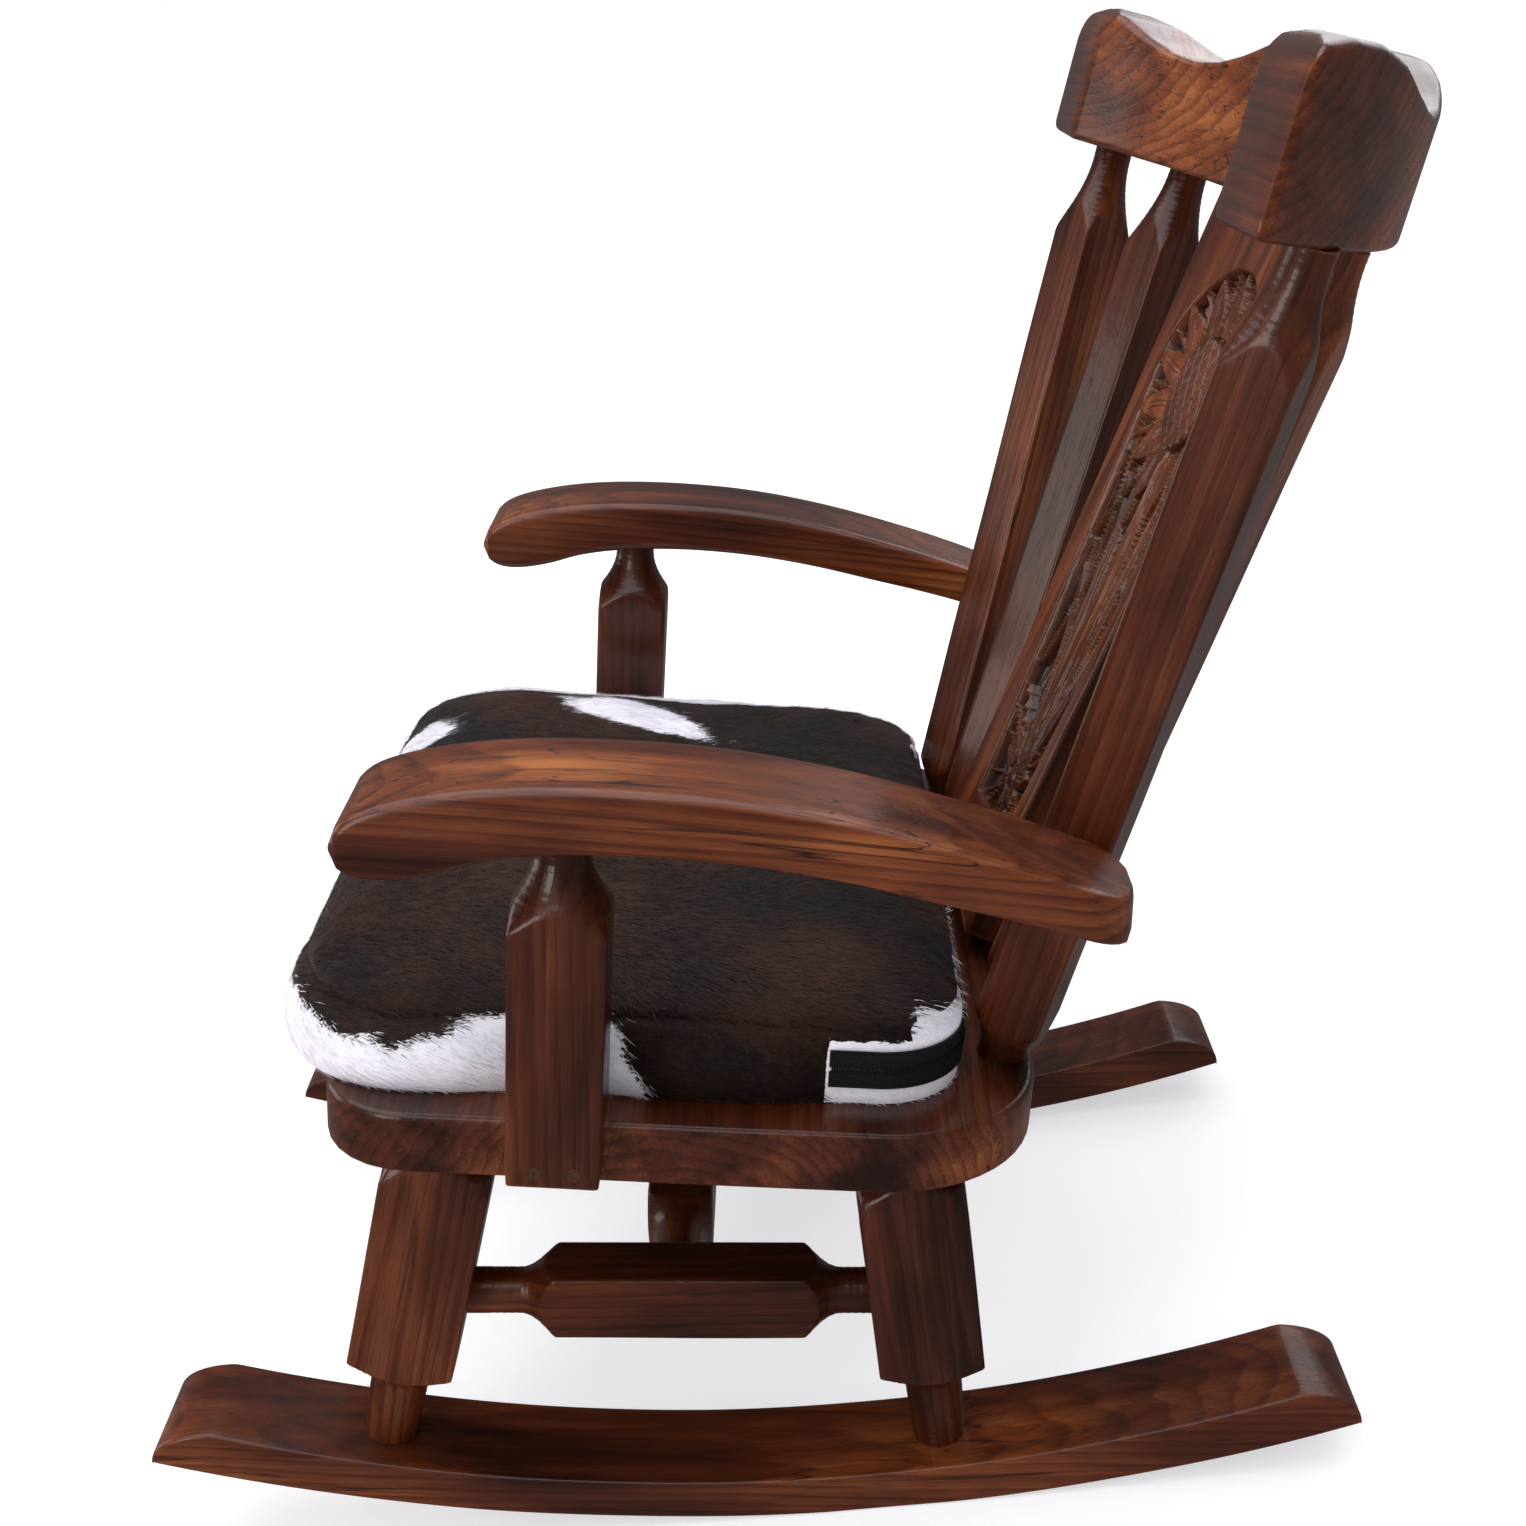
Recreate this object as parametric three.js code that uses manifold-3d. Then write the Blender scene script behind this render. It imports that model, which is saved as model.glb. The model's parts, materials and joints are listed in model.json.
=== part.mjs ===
// Rustic rocking chair: turned-square legs and stretchers, plank seat, banana arms,
// fanned back posts with a carved splat, sawn crest rail and a loose box cushion.
// Millimetres, +Z up, the chair faces -Y, +X is the sitter's left. The pieces are drawn in the
// chair's own upright frame; the whole chair then leans back until it balances on its rockers.
import * as THREE from 'three';
import { mergeVertices } from 'three/addons/utils/BufferGeometryUtils.js';
import Module from 'manifold-3d';

const wasm = await Module();
wasm.setup();

// ---------------------------------------------------------------- driving dimensions
const GAP = 0.3; // glue-line clearance at every joint
const BALANCE_DEG = 6.2; // lean at which the centre of mass stands over the rockers' flats

const ROCKER = {
  x: 257.5, width: 84, bottomRadius: 1481, topRadius: 1335, lowestY: -66, thickness: 31.5,
  frontY: -443, rearY: 431, noseSetback: 44, flatLength: 90, chamfer: 2,
};
const SEAT = { frontY: -292, rearY: 192, halfWidth: 347, thickness: 43, frontZ: 372,
  slopeDeg: 3.0, frontRadius: 62, rearRadius: 112, chamfer: 3 };
const LEG = { size: 76, neckTop: 29, neckFoot: 18.5, foot: 21, shoulderLow: 64, shoulderHigh: 32,
  topTenon: 22 };
const FRONT_LEG = { x: 257.5, topY: -209, footY: -281 };
const REAR_LEG = { x: 257.5, topY: 97, footY: 135 };
const STRETCHER = { size: 50, neck: 16.5, z: 170, bodyFrontY: -152, bodyRearY: 36, socket: 24 };
const CROSS = { y: -62, size: 49, neck: 17.5, bodyHalf: 172, socket: 18 };
const ARM_POST = { x: 343, size: 62, footY: -133, footZ: 331, topY: -119, topZ: 572,
  shoulder: 189, neck: 17, socket: 20 };
const ARM = { inner: 296, outer: 390, chamfer: 3, endInner: 20, endOuter: 36 };
const OUTER_POST = { foot: [226, 167, 348], head: [333, 305, 912], turn: -26, wide: 48, deep: 48,
  shoulderLow: 42, shoulderHigh: 520, neckFoot: 15, neckHead: 14.5 };
const INNER_POST = { foot: [150, 180, 347], head: [233, 350, 899], turn: -30, wide: 46, deep: 46,
  shoulderLow: 42, shoulderHigh: 522, neckFoot: 15, neckHead: 15 };
const SPLAT = { foot: [0, 167, 348], head: [0, 384, 893], halfFoot: 82, halfHead: 112, deep: 36,
  tenon: 24, tenonHalf: 60, tenonDeep: 16 };
const CREST = { outer: 583, inner: 505, centreY: -150, frontY: 259, halfWidth: 409, baseZ: 927,
  tiltDeg: 13, socket: 34, noseHeight: 86, noseLength: 30 };
const CUSHION = { frontY: -318, rearY: 137, halfWidth: 306, boxing: 60, crown: 30, wall: 3, ease: 52,
  cornerFront: 84, cornerRear: 60 };
const ZIP = { width: 26, thick: 1.6, height: 27, reachForward: 34, coil: 3, slider: 11,
  sliderX: -214 };
const PLUG = { radius: 5, depth: 6, drop: 22, spread: 13 };
const SCREW = { head: 4.2, headDeep: 3, shank: 2.2, length: 44 };

const CARVING = { sink: 13, footHalf: 52, footY: 92, archRadius: 84, archY: 455,
  flowerY: 446, flowerRadius: 44,
  stem: [[-26, 90], [26, 90], [10, 230], [8, 400], [-8, 400], [-10, 230]] };

const CREST_TOP = [
  [0, 117], [5, 114], [9.7, 105], [14, 94], [18.2, 85], [21.5, 82], [25.5, 84.5], [29.5, 92],
  [33.5, 103], [37.5, 108.5], [41, 107], [44, 101], [47, 90], [50, 74],
];
const ARM_TOP = [
  [-242, 588], [-224, 601], [-198, 610], [-165, 614], [-120, 614], [-70, 611], [-22, 606],
  [25, 598], [73, 587], [121, 573], [170, 557], [205, 544], [231, 533],
];
const ARM_BOTTOM = [
  [231, 502], [187, 517.5], [150, 528], [102, 540], [53, 552], [5, 561], [-43, 567], [-95, 570],
  [-134, 569], [-165, 565], [-195, 558.5], [-222, 554.5], [-240, 556], [-251, 562], [-254.5, 572],
];

const rad = THREE.MathUtils.degToRad;

// ---------------------------------------------------------------- solids and booleans
function solid(geometry, matrix) {
  const bare = geometry.clone();
  for (const name of Object.keys(bare.attributes)) {
    if (name !== 'position') bare.deleteAttribute(name);
  }
  if (matrix) bare.applyMatrix4(matrix);
  const merged = mergeVertices(bare, 1e-3);
  return new wasm.Manifold(new wasm.Mesh({
    numProp: 3,
    vertProperties: new Float32Array(merged.attributes.position.array),
    triVerts: new Uint32Array(merged.index.array),
  }));
}

function meshOf(name, body, look) {
  const got = body.getMesh();
  const geometry = new THREE.BufferGeometry();
  geometry.setAttribute('position', new THREE.BufferAttribute(got.vertProperties, 3));
  geometry.setIndex(new THREE.BufferAttribute(got.triVerts, 1));
  geometry.computeVertexNormals();
  const mesh = new THREE.Mesh(geometry, new THREE.MeshStandardMaterial(look));
  mesh.name = name;
  return mesh;
}

function move(x, y, z) {
  return new THREE.Matrix4().makeTranslation(x, y, z);
}

// Frame whose +Z runs from a to b; turn rolls it about that axis.
function along(a, b, turn = 0) {
  const foot = new THREE.Vector3(...a);
  const dir = new THREE.Vector3(...b).sub(foot).normalize();
  const side = new THREE.Vector3(1, 0, 0);
  if (Math.abs(dir.x) > 0.9) side.set(0, 1, 0);
  const front = new THREE.Vector3().crossVectors(dir, side).normalize();
  side.crossVectors(front, dir).normalize();
  const basis = new THREE.Matrix4().makeBasis(side, front, dir);
  basis.multiply(new THREE.Matrix4().makeRotationZ(rad(turn)));
  basis.setPosition(foot);
  return basis;
}

function distance(a, b) {
  return new THREE.Vector3(...a).distanceTo(new THREE.Vector3(...b));
}

function pin(a, b, r0, r1, segments = 20) {
  const length = distance(a, b);
  const profile = [[0, 0], [r0, 0], [r1, length], [0, length]];
  return solid(turned(profile, segments), along(a, b));
}

// Revolved profile about Z from [radius, height] pairs that start and end on the axis.
function turned(profile, segments = 20) {
  const points = profile.map(([r, z]) => new THREE.Vector2(r, z));
  const geometry = new THREE.LatheGeometry(points, segments);
  geometry.rotateX(Math.PI / 2);
  return geometry;
}

function box(width, depth, height, matrix) {
  return solid(new THREE.BoxGeometry(width, depth, height), matrix);
}

// ---------------------------------------------------------------- turned-square pieces
// A square blank whose ends are turned round: the lathe cut leaves the arched shoulders.
function turnedSquare(wide, deep, profile, matrix) {
  const low = profile[0][1];
  const high = profile[profile.length - 1][1];
  const blank = box(wide, deep, high - low, new THREE.Matrix4()
    .multiplyMatrices(matrix, move(0, 0, (low + high) / 2)));
  return blank.intersect(solid(turned(profile), matrix));
}

function cove(neck, far, from, to, steps = 4) {
  const out = [];
  for (let i = 0; i <= steps; i += 1) {
    const t = i / steps;
    out.push([neck + (far - neck) * (1 - Math.cos(t * Math.PI / 2)), from + (to - from) * t]);
  }
  return out;
}

function reach(wide, deep) {
  return Math.hypot(wide, deep) / 2 + 1;
}

// ---------------------------------------------------------------- seat frame
const slope = rad(SEAT.slopeDeg);
function seatTopZ(y) {
  return SEAT.frontZ - (y - SEAT.frontY) * Math.tan(slope);
}
const seatFrame = move(0, 0, seatTopZ(0)).multiply(new THREE.Matrix4().makeRotationX(-slope));

function roundedPlate(half, front, rear, rFront, rRear, depth, chamfer, steps = 8) {
  const s = new THREE.Shape();
  const h = half - chamfer;
  const f = front + chamfer;
  const b = rear - chamfer;
  s.moveTo(-h + rFront, f);
  s.lineTo(h - rFront, f);
  s.absarc(h - rFront, f + rFront, rFront, -Math.PI / 2, 0, false);
  s.absarc(h - rRear, b - rRear, rRear, 0, Math.PI / 2, false);
  s.absarc(-h + rRear, b - rRear, rRear, Math.PI / 2, Math.PI, false);
  s.absarc(-h + rFront, f + rFront, rFront, Math.PI, 1.5 * Math.PI, false);
  const options = chamfer > 0
    ? { depth: depth - 2 * chamfer, bevelEnabled: true, bevelSize: chamfer,
      bevelThickness: chamfer, bevelSegments: 1, curveSegments: steps }
    : { depth, bevelEnabled: false, curveSegments: steps };
  const geometry = new THREE.ExtrudeGeometry(s, options);
  geometry.translate(0, 0, chamfer);
  return geometry;
}

// Side profile in the YZ plane, sawn across the width in X.
function sawn(outline, width, xMid, chamfer) {
  const s = new THREE.Shape(outline.map(([y, z]) => new THREE.Vector2(y, z)));
  const geometry = new THREE.ExtrudeGeometry(s, {
    depth: width - 2 * chamfer, bevelEnabled: true, bevelSize: chamfer,
    bevelOffset: -chamfer, bevelThickness: chamfer, bevelSegments: 1, curveSegments: 1,
  });
  geometry.translate(0, 0, chamfer - width / 2);
  const yzx = new THREE.Matrix4().makeBasis(
    new THREE.Vector3(0, 1, 0), new THREE.Vector3(0, 0, 1), new THREE.Vector3(1, 0, 0));
  geometry.applyMatrix4(yzx);
  geometry.translate(xMid, 0, 0);
  return solid(geometry);
}

// ---------------------------------------------------------------- pieces
function arcZ(radius, lowZ, y) {
  return lowZ + radius - Math.sqrt(radius * radius - (y - ROCKER.lowestY) ** 2);
}

// Quarter turn of a rocker's rounded top end, as points added to the outline.
function roundNose(out, middle, reachY, low, high, turns) {
  for (const t of turns) {
    const a = t * Math.PI / 2;
    out.push([middle + reachY * Math.cos(a), low + (high - low) * Math.sin(a)]);
  }
}

function rockerOutline() {
  const out = [];
  const r = ROCKER;
  const lean = rad(BALANCE_DEG);
  const halfFlat = Math.asin(r.flatLength / 2 / r.bottomRadius);
  const flat = [lean - halfFlat, lean + halfFlat]
    .map((a) => r.lowestY + r.bottomRadius * Math.sin(a));
  const bottom = (y) => arcZ(r.bottomRadius, 0, y);
  const top = (y) => arcZ(r.topRadius, r.thickness, y);
  for (let i = 0; i <= 8; i += 1) {
    const y = r.frontY + (flat[0] - r.frontY) * i / 8;
    out.push([y, bottom(y)]);
  }
  for (let i = 0; i <= 5; i += 1) {
    const y = flat[1] + (r.rearY - flat[1]) * i / 5;
    out.push([y, bottom(y)]);
  }
  const rear = r.rearY - r.noseSetback;
  const front = r.frontY + r.noseSetback;
  roundNose(out, rear, r.noseSetback, bottom(r.rearY) + 3, top(rear), [0.25, 0.5, 0.75]);
  for (let i = 0; i <= 14; i += 1) {
    const y = rear + (front - rear) * i / 14;
    out.push([y, top(y)]);
  }
  roundNose(out, front, -r.noseSetback, bottom(r.frontY) + 3, top(front), [0.75, 0.5, 0.25]);
  return out;
}

function legAxis(leg, side) {
  const topZ = seatTopZ(leg.topY) - SEAT.thickness + LEG.topTenon;
  const footZ = arcZ(ROCKER.topRadius, ROCKER.thickness, leg.footY) - LEG.foot;
  return [[side * leg.x, leg.footY, footZ], [side * leg.x, leg.topY, topZ]];
}

function legBody(leg, side, extra = 0) {
  const [foot, head] = legAxis(leg, side);
  const length = distance(foot, head);
  const far = reach(LEG.size, LEG.size);
  const upper = length - LEG.topTenon;
  const profile = [
    [0, -extra], [LEG.neckFoot + extra, -extra],
    ...cove(LEG.neckFoot + 2.5 + extra, far, LEG.shoulderLow + 6, LEG.shoulderLow + 38),
    ...cove(LEG.neckTop - 5 + extra, far, upper + 1, upper - LEG.shoulderHigh).reverse(),
    [LEG.neckTop - 6 + extra, length + extra], [0, length + extra],
  ];
  return turnedSquare(LEG.size + 2 * extra, LEG.size + 2 * extra, profile, along(foot, head));
}

function sideStretcherBody(side, extra = 0) {
  const x = side * FRONT_LEG.x;
  const yAt = (leg) => {
    const [a, b] = legAxis(leg, side);
    return a[1] + (b[1] - a[1]) * (STRETCHER.z - a[2]) / (b[2] - a[2]);
  };
  const start = [x, yAt(FRONT_LEG) + LEG.size / 2 - STRETCHER.socket, STRETCHER.z];
  const end = [x, yAt(REAR_LEG) - LEG.size / 2 + STRETCHER.socket, STRETCHER.z];
  const length = distance(start, end);
  const low = STRETCHER.bodyFrontY - start[1];
  const high = STRETCHER.bodyRearY - start[1];
  const far = reach(STRETCHER.size, STRETCHER.size);
  const n = STRETCHER.neck + extra;
  const profile = [
    [0, -extra], [n, -extra], ...cove(n, far, low - 22, low + 6),
    ...cove(n, far, high + 22, high - 6).reverse(), [n, length + extra], [0, length + extra],
  ];
  return turnedSquare(STRETCHER.size, STRETCHER.size, profile, along(start, end));
}

function crossStretcherBody(extra = 0) {
  const half = FRONT_LEG.x - STRETCHER.size / 2 + CROSS.socket;
  const start = [-half, CROSS.y, STRETCHER.z];
  const end = [half, CROSS.y, STRETCHER.z];
  const far = reach(CROSS.size, CROSS.size);
  const n = CROSS.neck + extra;
  const low = half - CROSS.bodyHalf;
  const high = half + CROSS.bodyHalf;
  const profile = [
    [0, -extra], [n, -extra], ...cove(n, far, low - 20, low + 6),
    ...cove(n, far, high + 20, high - 6).reverse(), [n, 2 * half + extra], [0, 2 * half + extra],
  ];
  return turnedSquare(CROSS.size, CROSS.size, profile, along(start, end));
}

function postAxis(post, side) {
  const foot = new THREE.Vector3(side * post.foot[0], post.foot[1], post.foot[2]);
  const head = new THREE.Vector3(side * post.head[0], post.head[1], post.head[2]);
  const dir = head.clone().sub(foot).normalize();
  return {
    start: foot.clone().addScaledVector(dir, -24).toArray(),
    end: head.clone().addScaledVector(dir, CREST.socket - 6).toArray(),
  };
}

function backPostBody(post, side, extra = 0) {
  const { start, end } = postAxis(post, side);
  const length = distance(start, end);
  const far = reach(post.wide, post.deep);
  const low = 24 + post.shoulderLow;
  const high = 24 + post.shoulderHigh;
  const profile = [
    [0, -extra], [post.neckFoot + extra, -extra], [post.neckFoot + extra, 25],
    ...cove(post.neckFoot + 2, far, 26, low, 3),
    ...cove(post.neckHead + 1.5, far, high + 66, high - 4, 5).reverse(),
    [post.neckHead + extra, length - CREST.socket], [post.neckHead + extra, length + extra],
    [0, length + extra],
  ];
  return turnedSquare(post.wide, post.deep, profile, along(start, end, side * post.turn));
}

// Frame in the plane of the splat: x across, y up the board, z out of its front.
function splatFrame() {
  const dir = new THREE.Vector3(...SPLAT.head).sub(new THREE.Vector3(...SPLAT.foot)).normalize();
  const x = new THREE.Vector3(1, 0, 0);
  const normal = new THREE.Vector3().crossVectors(x, dir);
  const basis = new THREE.Matrix4().makeBasis(x, dir, normal);
  basis.setPosition(...SPLAT.foot);
  return basis;
}

function splatPlate(points, deep, zMid = 0) {
  const s = new THREE.Shape(points.map(([x, y]) => new THREE.Vector2(x, y)));
  const geometry = new THREE.ExtrudeGeometry(s, { depth: deep, bevelEnabled: false });
  geometry.translate(0, 0, zMid - deep / 2);
  return solid(geometry, splatFrame());
}

function splatTenon(extra) {
  const h = SPLAT.tenonHalf + extra;
  const low = -SPLAT.tenon - extra;
  return splatPlate([[-h, low], [h, low], [h, 12], [-h, 12]], SPLAT.tenonDeep + 2 * extra);
}

function splatBoard(extra) {
  const length = distance(SPLAT.foot, SPLAT.head);
  const top = length + CREST.socket - 14 + extra;
  const foot = SPLAT.halfFoot;
  const head = SPLAT.halfHead + extra;
  const board = splatPlate([[-foot, -30], [foot, -30], [head, length], [head, top],
    [-head, top], [-head, length]], SPLAT.deep + 2 * extra);
  const under = box(900, 900, 200, new THREE.Matrix4().multiplyMatrices(seatFrame,
    move(0, 0, GAP - 100)));
  return board.subtract(under);
}

// Sunk ground of the carving with the flower, stem and lower bud left standing.
function splatCarving() {
  const ground = new THREE.Shape();
  ground.moveTo(-CARVING.footHalf, CARVING.footY);
  ground.lineTo(CARVING.footHalf, CARVING.footY);
  ground.lineTo(CARVING.archRadius, CARVING.archY);
  ground.absarc(0, CARVING.archY, CARVING.archRadius, 0, Math.PI, false);
  ground.closePath();
  const flower = new THREE.Shape();
  flower.absarc(0, CARVING.flowerY, CARVING.flowerRadius, 0, 2 * Math.PI, false);
  const stem = new THREE.Shape(CARVING.stem.map(([x, y]) => new THREE.Vector2(x, y)));
  const lift = SPLAT.deep / 2 - CARVING.sink;
  const plate = (shape, depth, segments) => solid(
    new THREE.ExtrudeGeometry(shape, { depth, bevelEnabled: false, curveSegments: segments }),
    new THREE.Matrix4().multiplyMatrices(splatFrame(), move(0, 0, lift)));
  const standing = plate(flower, CARVING.sink - 1, 8).add(plate(stem, CARVING.sink - 3, 1));
  return plate(ground, 40, 7).subtract(standing);
}

function crestHeight(deg) {
  const a = Math.abs(deg);
  for (let i = 1; i < CREST_TOP.length; i += 1) {
    const [a0, h0] = CREST_TOP[i - 1];
    const [a1, h1] = CREST_TOP[i];
    if (a <= a1) return h0 + (h1 - h0) * (a - a0) / (a1 - a0);
  }
  return CREST_TOP[CREST_TOP.length - 1][1];
}

function crestBody() {
  const steps = 32;
  const end = 50;
  const blank = new THREE.BoxGeometry(2 * end, 1, 1, steps, 1, 1);
  const p = blank.attributes.position;
  for (let i = 0; i < p.count; i += 1) {
    const deg = p.getX(i);
    const radius = p.getY(i) > 0 ? CREST.outer : CREST.inner;
    const a = rad(deg);
    const y = CREST.centreY + radius * Math.cos(a) - CREST.frontY;
    const z = p.getZ(i) > 0 ? crestHeight(deg) : 0;
    p.setXYZ(i, radius * Math.sin(a), y, z);
  }
  const front = [];
  for (let i = 0; i <= 5; i += 1) {
    const a = i / 5 * Math.PI / 2;
    front.push([CREST.noseLength * (1 - Math.cos(a)),
      CREST.noseHeight + (crestHeight(0) - CREST.noseHeight + 1) * Math.sin(a)]);
  }
  const section = [[0, -1], ...front, [400, crestHeight(0) + 1], [400, -1]].reverse();
  const local = solid(blank).intersect(sawn(section, 2 * CREST.halfWidth, 0, 2));
  return local.transform(crestFrame().elements);
}

function crestFrame() {
  return move(0, CREST.frontY, CREST.baseZ)
    .multiply(new THREE.Matrix4().makeRotationX(-rad(CREST.tiltDeg)));
}

function armPostFrame(side) {
  const foot = [side * ARM_POST.x, ARM_POST.footY, ARM_POST.footZ];
  const head = [side * ARM_POST.x, ARM_POST.topY, ARM_POST.topZ];
  return { foot, head, matrix: along(foot, head), length: distance(foot, head) };
}

function armPostTenon(side, extra) {
  const { matrix, length } = armPostFrame(side);
  const tall = ARM_POST.socket + extra;
  const profile = [[0, length - 12], [ARM_POST.neck + extra, length - 12],
    [ARM_POST.neck + extra, length - 2 + tall], [0, length - 2 + tall]];
  return solid(turned(profile), matrix);
}

function armPostBody(side) {
  const { matrix, length } = armPostFrame(side);
  const far = reach(ARM_POST.size, ARM_POST.size);
  const top = length - 2 + ARM_POST.socket;
  const profile = [[0, 0], [far, 0],
    ...cove(ARM_POST.neck, far, length - 14, ARM_POST.shoulder - 12, 5).reverse(),
    [ARM_POST.neck, top], [0, top]];
  const body = turnedSquare(ARM_POST.size, ARM_POST.size, profile, matrix);
  const half = SEAT.halfWidth + GAP;
  const lapBox = box(2 * half, 2 * ARM_POST.size, SEAT.thickness + 2 * GAP,
    new THREE.Matrix4().multiplyMatrices(seatFrame,
      move(0, ARM_POST.footY, -SEAT.thickness / 2)));
  return body.subtract(lapBox);
}


function armBody(side) {
  const width = ARM.outer - ARM.inner;
  const x = side * (ARM.outer + ARM.inner) / 2;
  const arm = sawn([...ARM_TOP, ...ARM_BOTTOM], width, x, ARM.chamfer);
  const plan = new THREE.Shape();
  const [i, o] = side > 0 ? [ARM.inner - 1, ARM.outer + 1] : [-ARM.outer - 1, -ARM.inner + 1];
  const [ri, ro] = side > 0 ? [ARM.endInner, ARM.endOuter] : [ARM.endOuter, ARM.endInner];
  const end = ARM_TOP[ARM_TOP.length - 1][0];
  plan.moveTo(i, -400);
  plan.lineTo(o, -400);
  plan.absarc(o - ro, end - ro, ro, 0, Math.PI / 2, false);
  plan.absarc(i + ri, end - ri, ri, Math.PI / 2, Math.PI, false);
  plan.closePath();
  const block = new THREE.ExtrudeGeometry(plan,
    { depth: 300, bevelEnabled: false, curveSegments: 6 });
  return arm.intersect(solid(block, move(0, 0, 400)));
}

function seatBody() {
  return solid(roundedPlate(SEAT.halfWidth, SEAT.frontY, SEAT.rearY, SEAT.frontRadius,
    SEAT.rearRadius, SEAT.thickness, SEAT.chamfer),
  new THREE.Matrix4().multiplyMatrices(seatFrame, move(0, 0, -SEAT.thickness)));
}

// One fixing of an arm post: hole centre line from the post's outer cheek into the seat edge.
function fixingAxis(side, spot) {
  const y = ARM_POST.footY + spot * PLUG.spread + 1.5;
  const z = seatTopZ(y) - PLUG.drop;
  const cheek = ARM_POST.x + ARM_POST.size / 2;
  const at = (depth) => [side * (cheek - depth), y, z];
  return { at };
}

function plugBody(side, spot, extra = 0) {
  const { at } = fixingAxis(side, spot);
  return pin(at(extra > 0 ? -2 : 0.2), at(PLUG.depth + extra), PLUG.radius + extra,
    PLUG.radius + extra, 12);
}

function screwBody(side, spot, extra = 0) {
  const { at } = fixingAxis(side, spot);
  const start = PLUG.depth + GAP;
  const head = pin(at(start - (extra > 0 ? 1 : 0)), at(start + SCREW.headDeep),
    SCREW.head + extra, SCREW.head + extra, 8);
  const shank = pin(at(start + 1), at(start + SCREW.length + extra),
    SCREW.shank + extra, SCREW.shank * 0.6 + extra, 8);
  return head.add(shank);
}

// ---------------------------------------------------------------- cushion and its zip
// Plan outline of the cushion set in by d, as a closed list of points.
function cushionPlan(d) {
  const s = new THREE.Shape();
  const h = CUSHION.halfWidth - d;
  const f = CUSHION.frontY + d;
  const b = CUSHION.rearY - d;
  const rf = CUSHION.cornerFront - Math.min(d, CUSHION.cornerFront - 6);
  const rr = CUSHION.cornerRear - Math.min(d, CUSHION.cornerRear - 6);
  s.absarc(h - rf, f + rf, rf, -Math.PI / 2, 0, false);
  s.absarc(h - rr, b - rr, rr, 0, Math.PI / 2, false);
  s.absarc(-h + rr, b - rr, rr, Math.PI / 2, Math.PI, false);
  s.absarc(-h + rf, f + rf, rf, Math.PI, 1.5 * Math.PI, false);
  s.closePath();
  return s;
}

function crownedBlock(inset, low, high, crown) {
  const ease = CUSHION.ease;
  const geometry = new THREE.ExtrudeGeometry(cushionPlan(inset + ease), {
    depth: high - low, bevelEnabled: true, bevelSize: ease, bevelThickness: crown,
    bevelSegments: 3, curveSegments: 4 });
  return solid(geometry, move(0, 0, low)).intersect(box(900, 900, 300, move(0, 0, low + 150)));
}

// Strip of the boxing between two depths and two heights, round the rear of the cushion.
function boxingStrip(outerInset, innerInset, low, high, lengthen = 0) {
  const line = (d) => {
    const h = CUSHION.halfWidth - d;
    const b = CUSHION.rearY - d;
    const r = CUSHION.cornerRear - d;
    const start = CUSHION.rearY - CUSHION.cornerRear - ZIP.reachForward - lengthen;
    const out = [[h, start]];
    for (let i = 0; i <= 4; i += 1) {
      const a = i / 4 * Math.PI / 2;
      out.push([h - r + r * Math.cos(a), b - r + r * Math.sin(a)]);
    }
    for (let i = 4; i >= 0; i -= 1) {
      const a = i / 4 * Math.PI / 2;
      out.push([-(h - r + r * Math.cos(a)), b - r + r * Math.sin(a)]);
    }
    out.push([-h, start]);
    return out;
  };
  const ring = [...line(outerInset), ...line(innerInset).reverse()];
  const s = new THREE.Shape(ring.map(([x, y]) => new THREE.Vector2(x, y)));
  const geometry = new THREE.ExtrudeGeometry(s, { depth: high - low, bevelEnabled: false });
  return solid(geometry, move(0, 0, low));
}

function onSeat(body) {
  return body.transform(seatFrame.elements);
}

function cushionCover() {
  const outer = crownedBlock(0, GAP, CUSHION.boxing, CUSHION.crown);
  const w = CUSHION.wall;
  const inner = crownedBlock(w, GAP + w, CUSHION.boxing, CUSHION.crown - w);
  const low = ZIP.height - ZIP.width / 2 - GAP;
  const high = ZIP.height + ZIP.width / 2 + GAP;
  return onSeat(outer.subtract(inner).subtract(boxingStrip(-1, w + 1, low, high, GAP)));
}

function cushionPad() {
  const w = CUSHION.wall + 1;
  return onSeat(crownedBlock(w, GAP + w, CUSHION.boxing, CUSHION.crown - w));
}

function zipTape(upper) {
  const mid = ZIP.height;
  const half = ZIP.width / 2;
  const [low, high] = upper ? [mid + GAP / 2, mid + half] : [mid - half, mid - GAP / 2];
  const tape = boxingStrip(0.6, 0.6 + ZIP.thick, low, high);
  const [c0, c1] = upper ? [mid + GAP / 2, mid + ZIP.coil] : [mid - ZIP.coil, mid - GAP / 2];
  return onSeat(tape.add(boxingStrip(-0.4, 1.2, c0, c1, -2)));
}

function zipSlider() {
  const y = CUSHION.rearY + 0.4 + GAP;
  const plate = box(ZIP.slider, 1.6, 9, move(ZIP.sliderX, y + 0.8, ZIP.height));
  const arch = box(7, 3.2, 3, move(ZIP.sliderX, y + 2.8, ZIP.height));
  const eye = box(4, 1.8, 5, move(ZIP.sliderX, y + 2.4, ZIP.height));
  return onSeat(plate.add(arch).subtract(eye));
}

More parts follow.
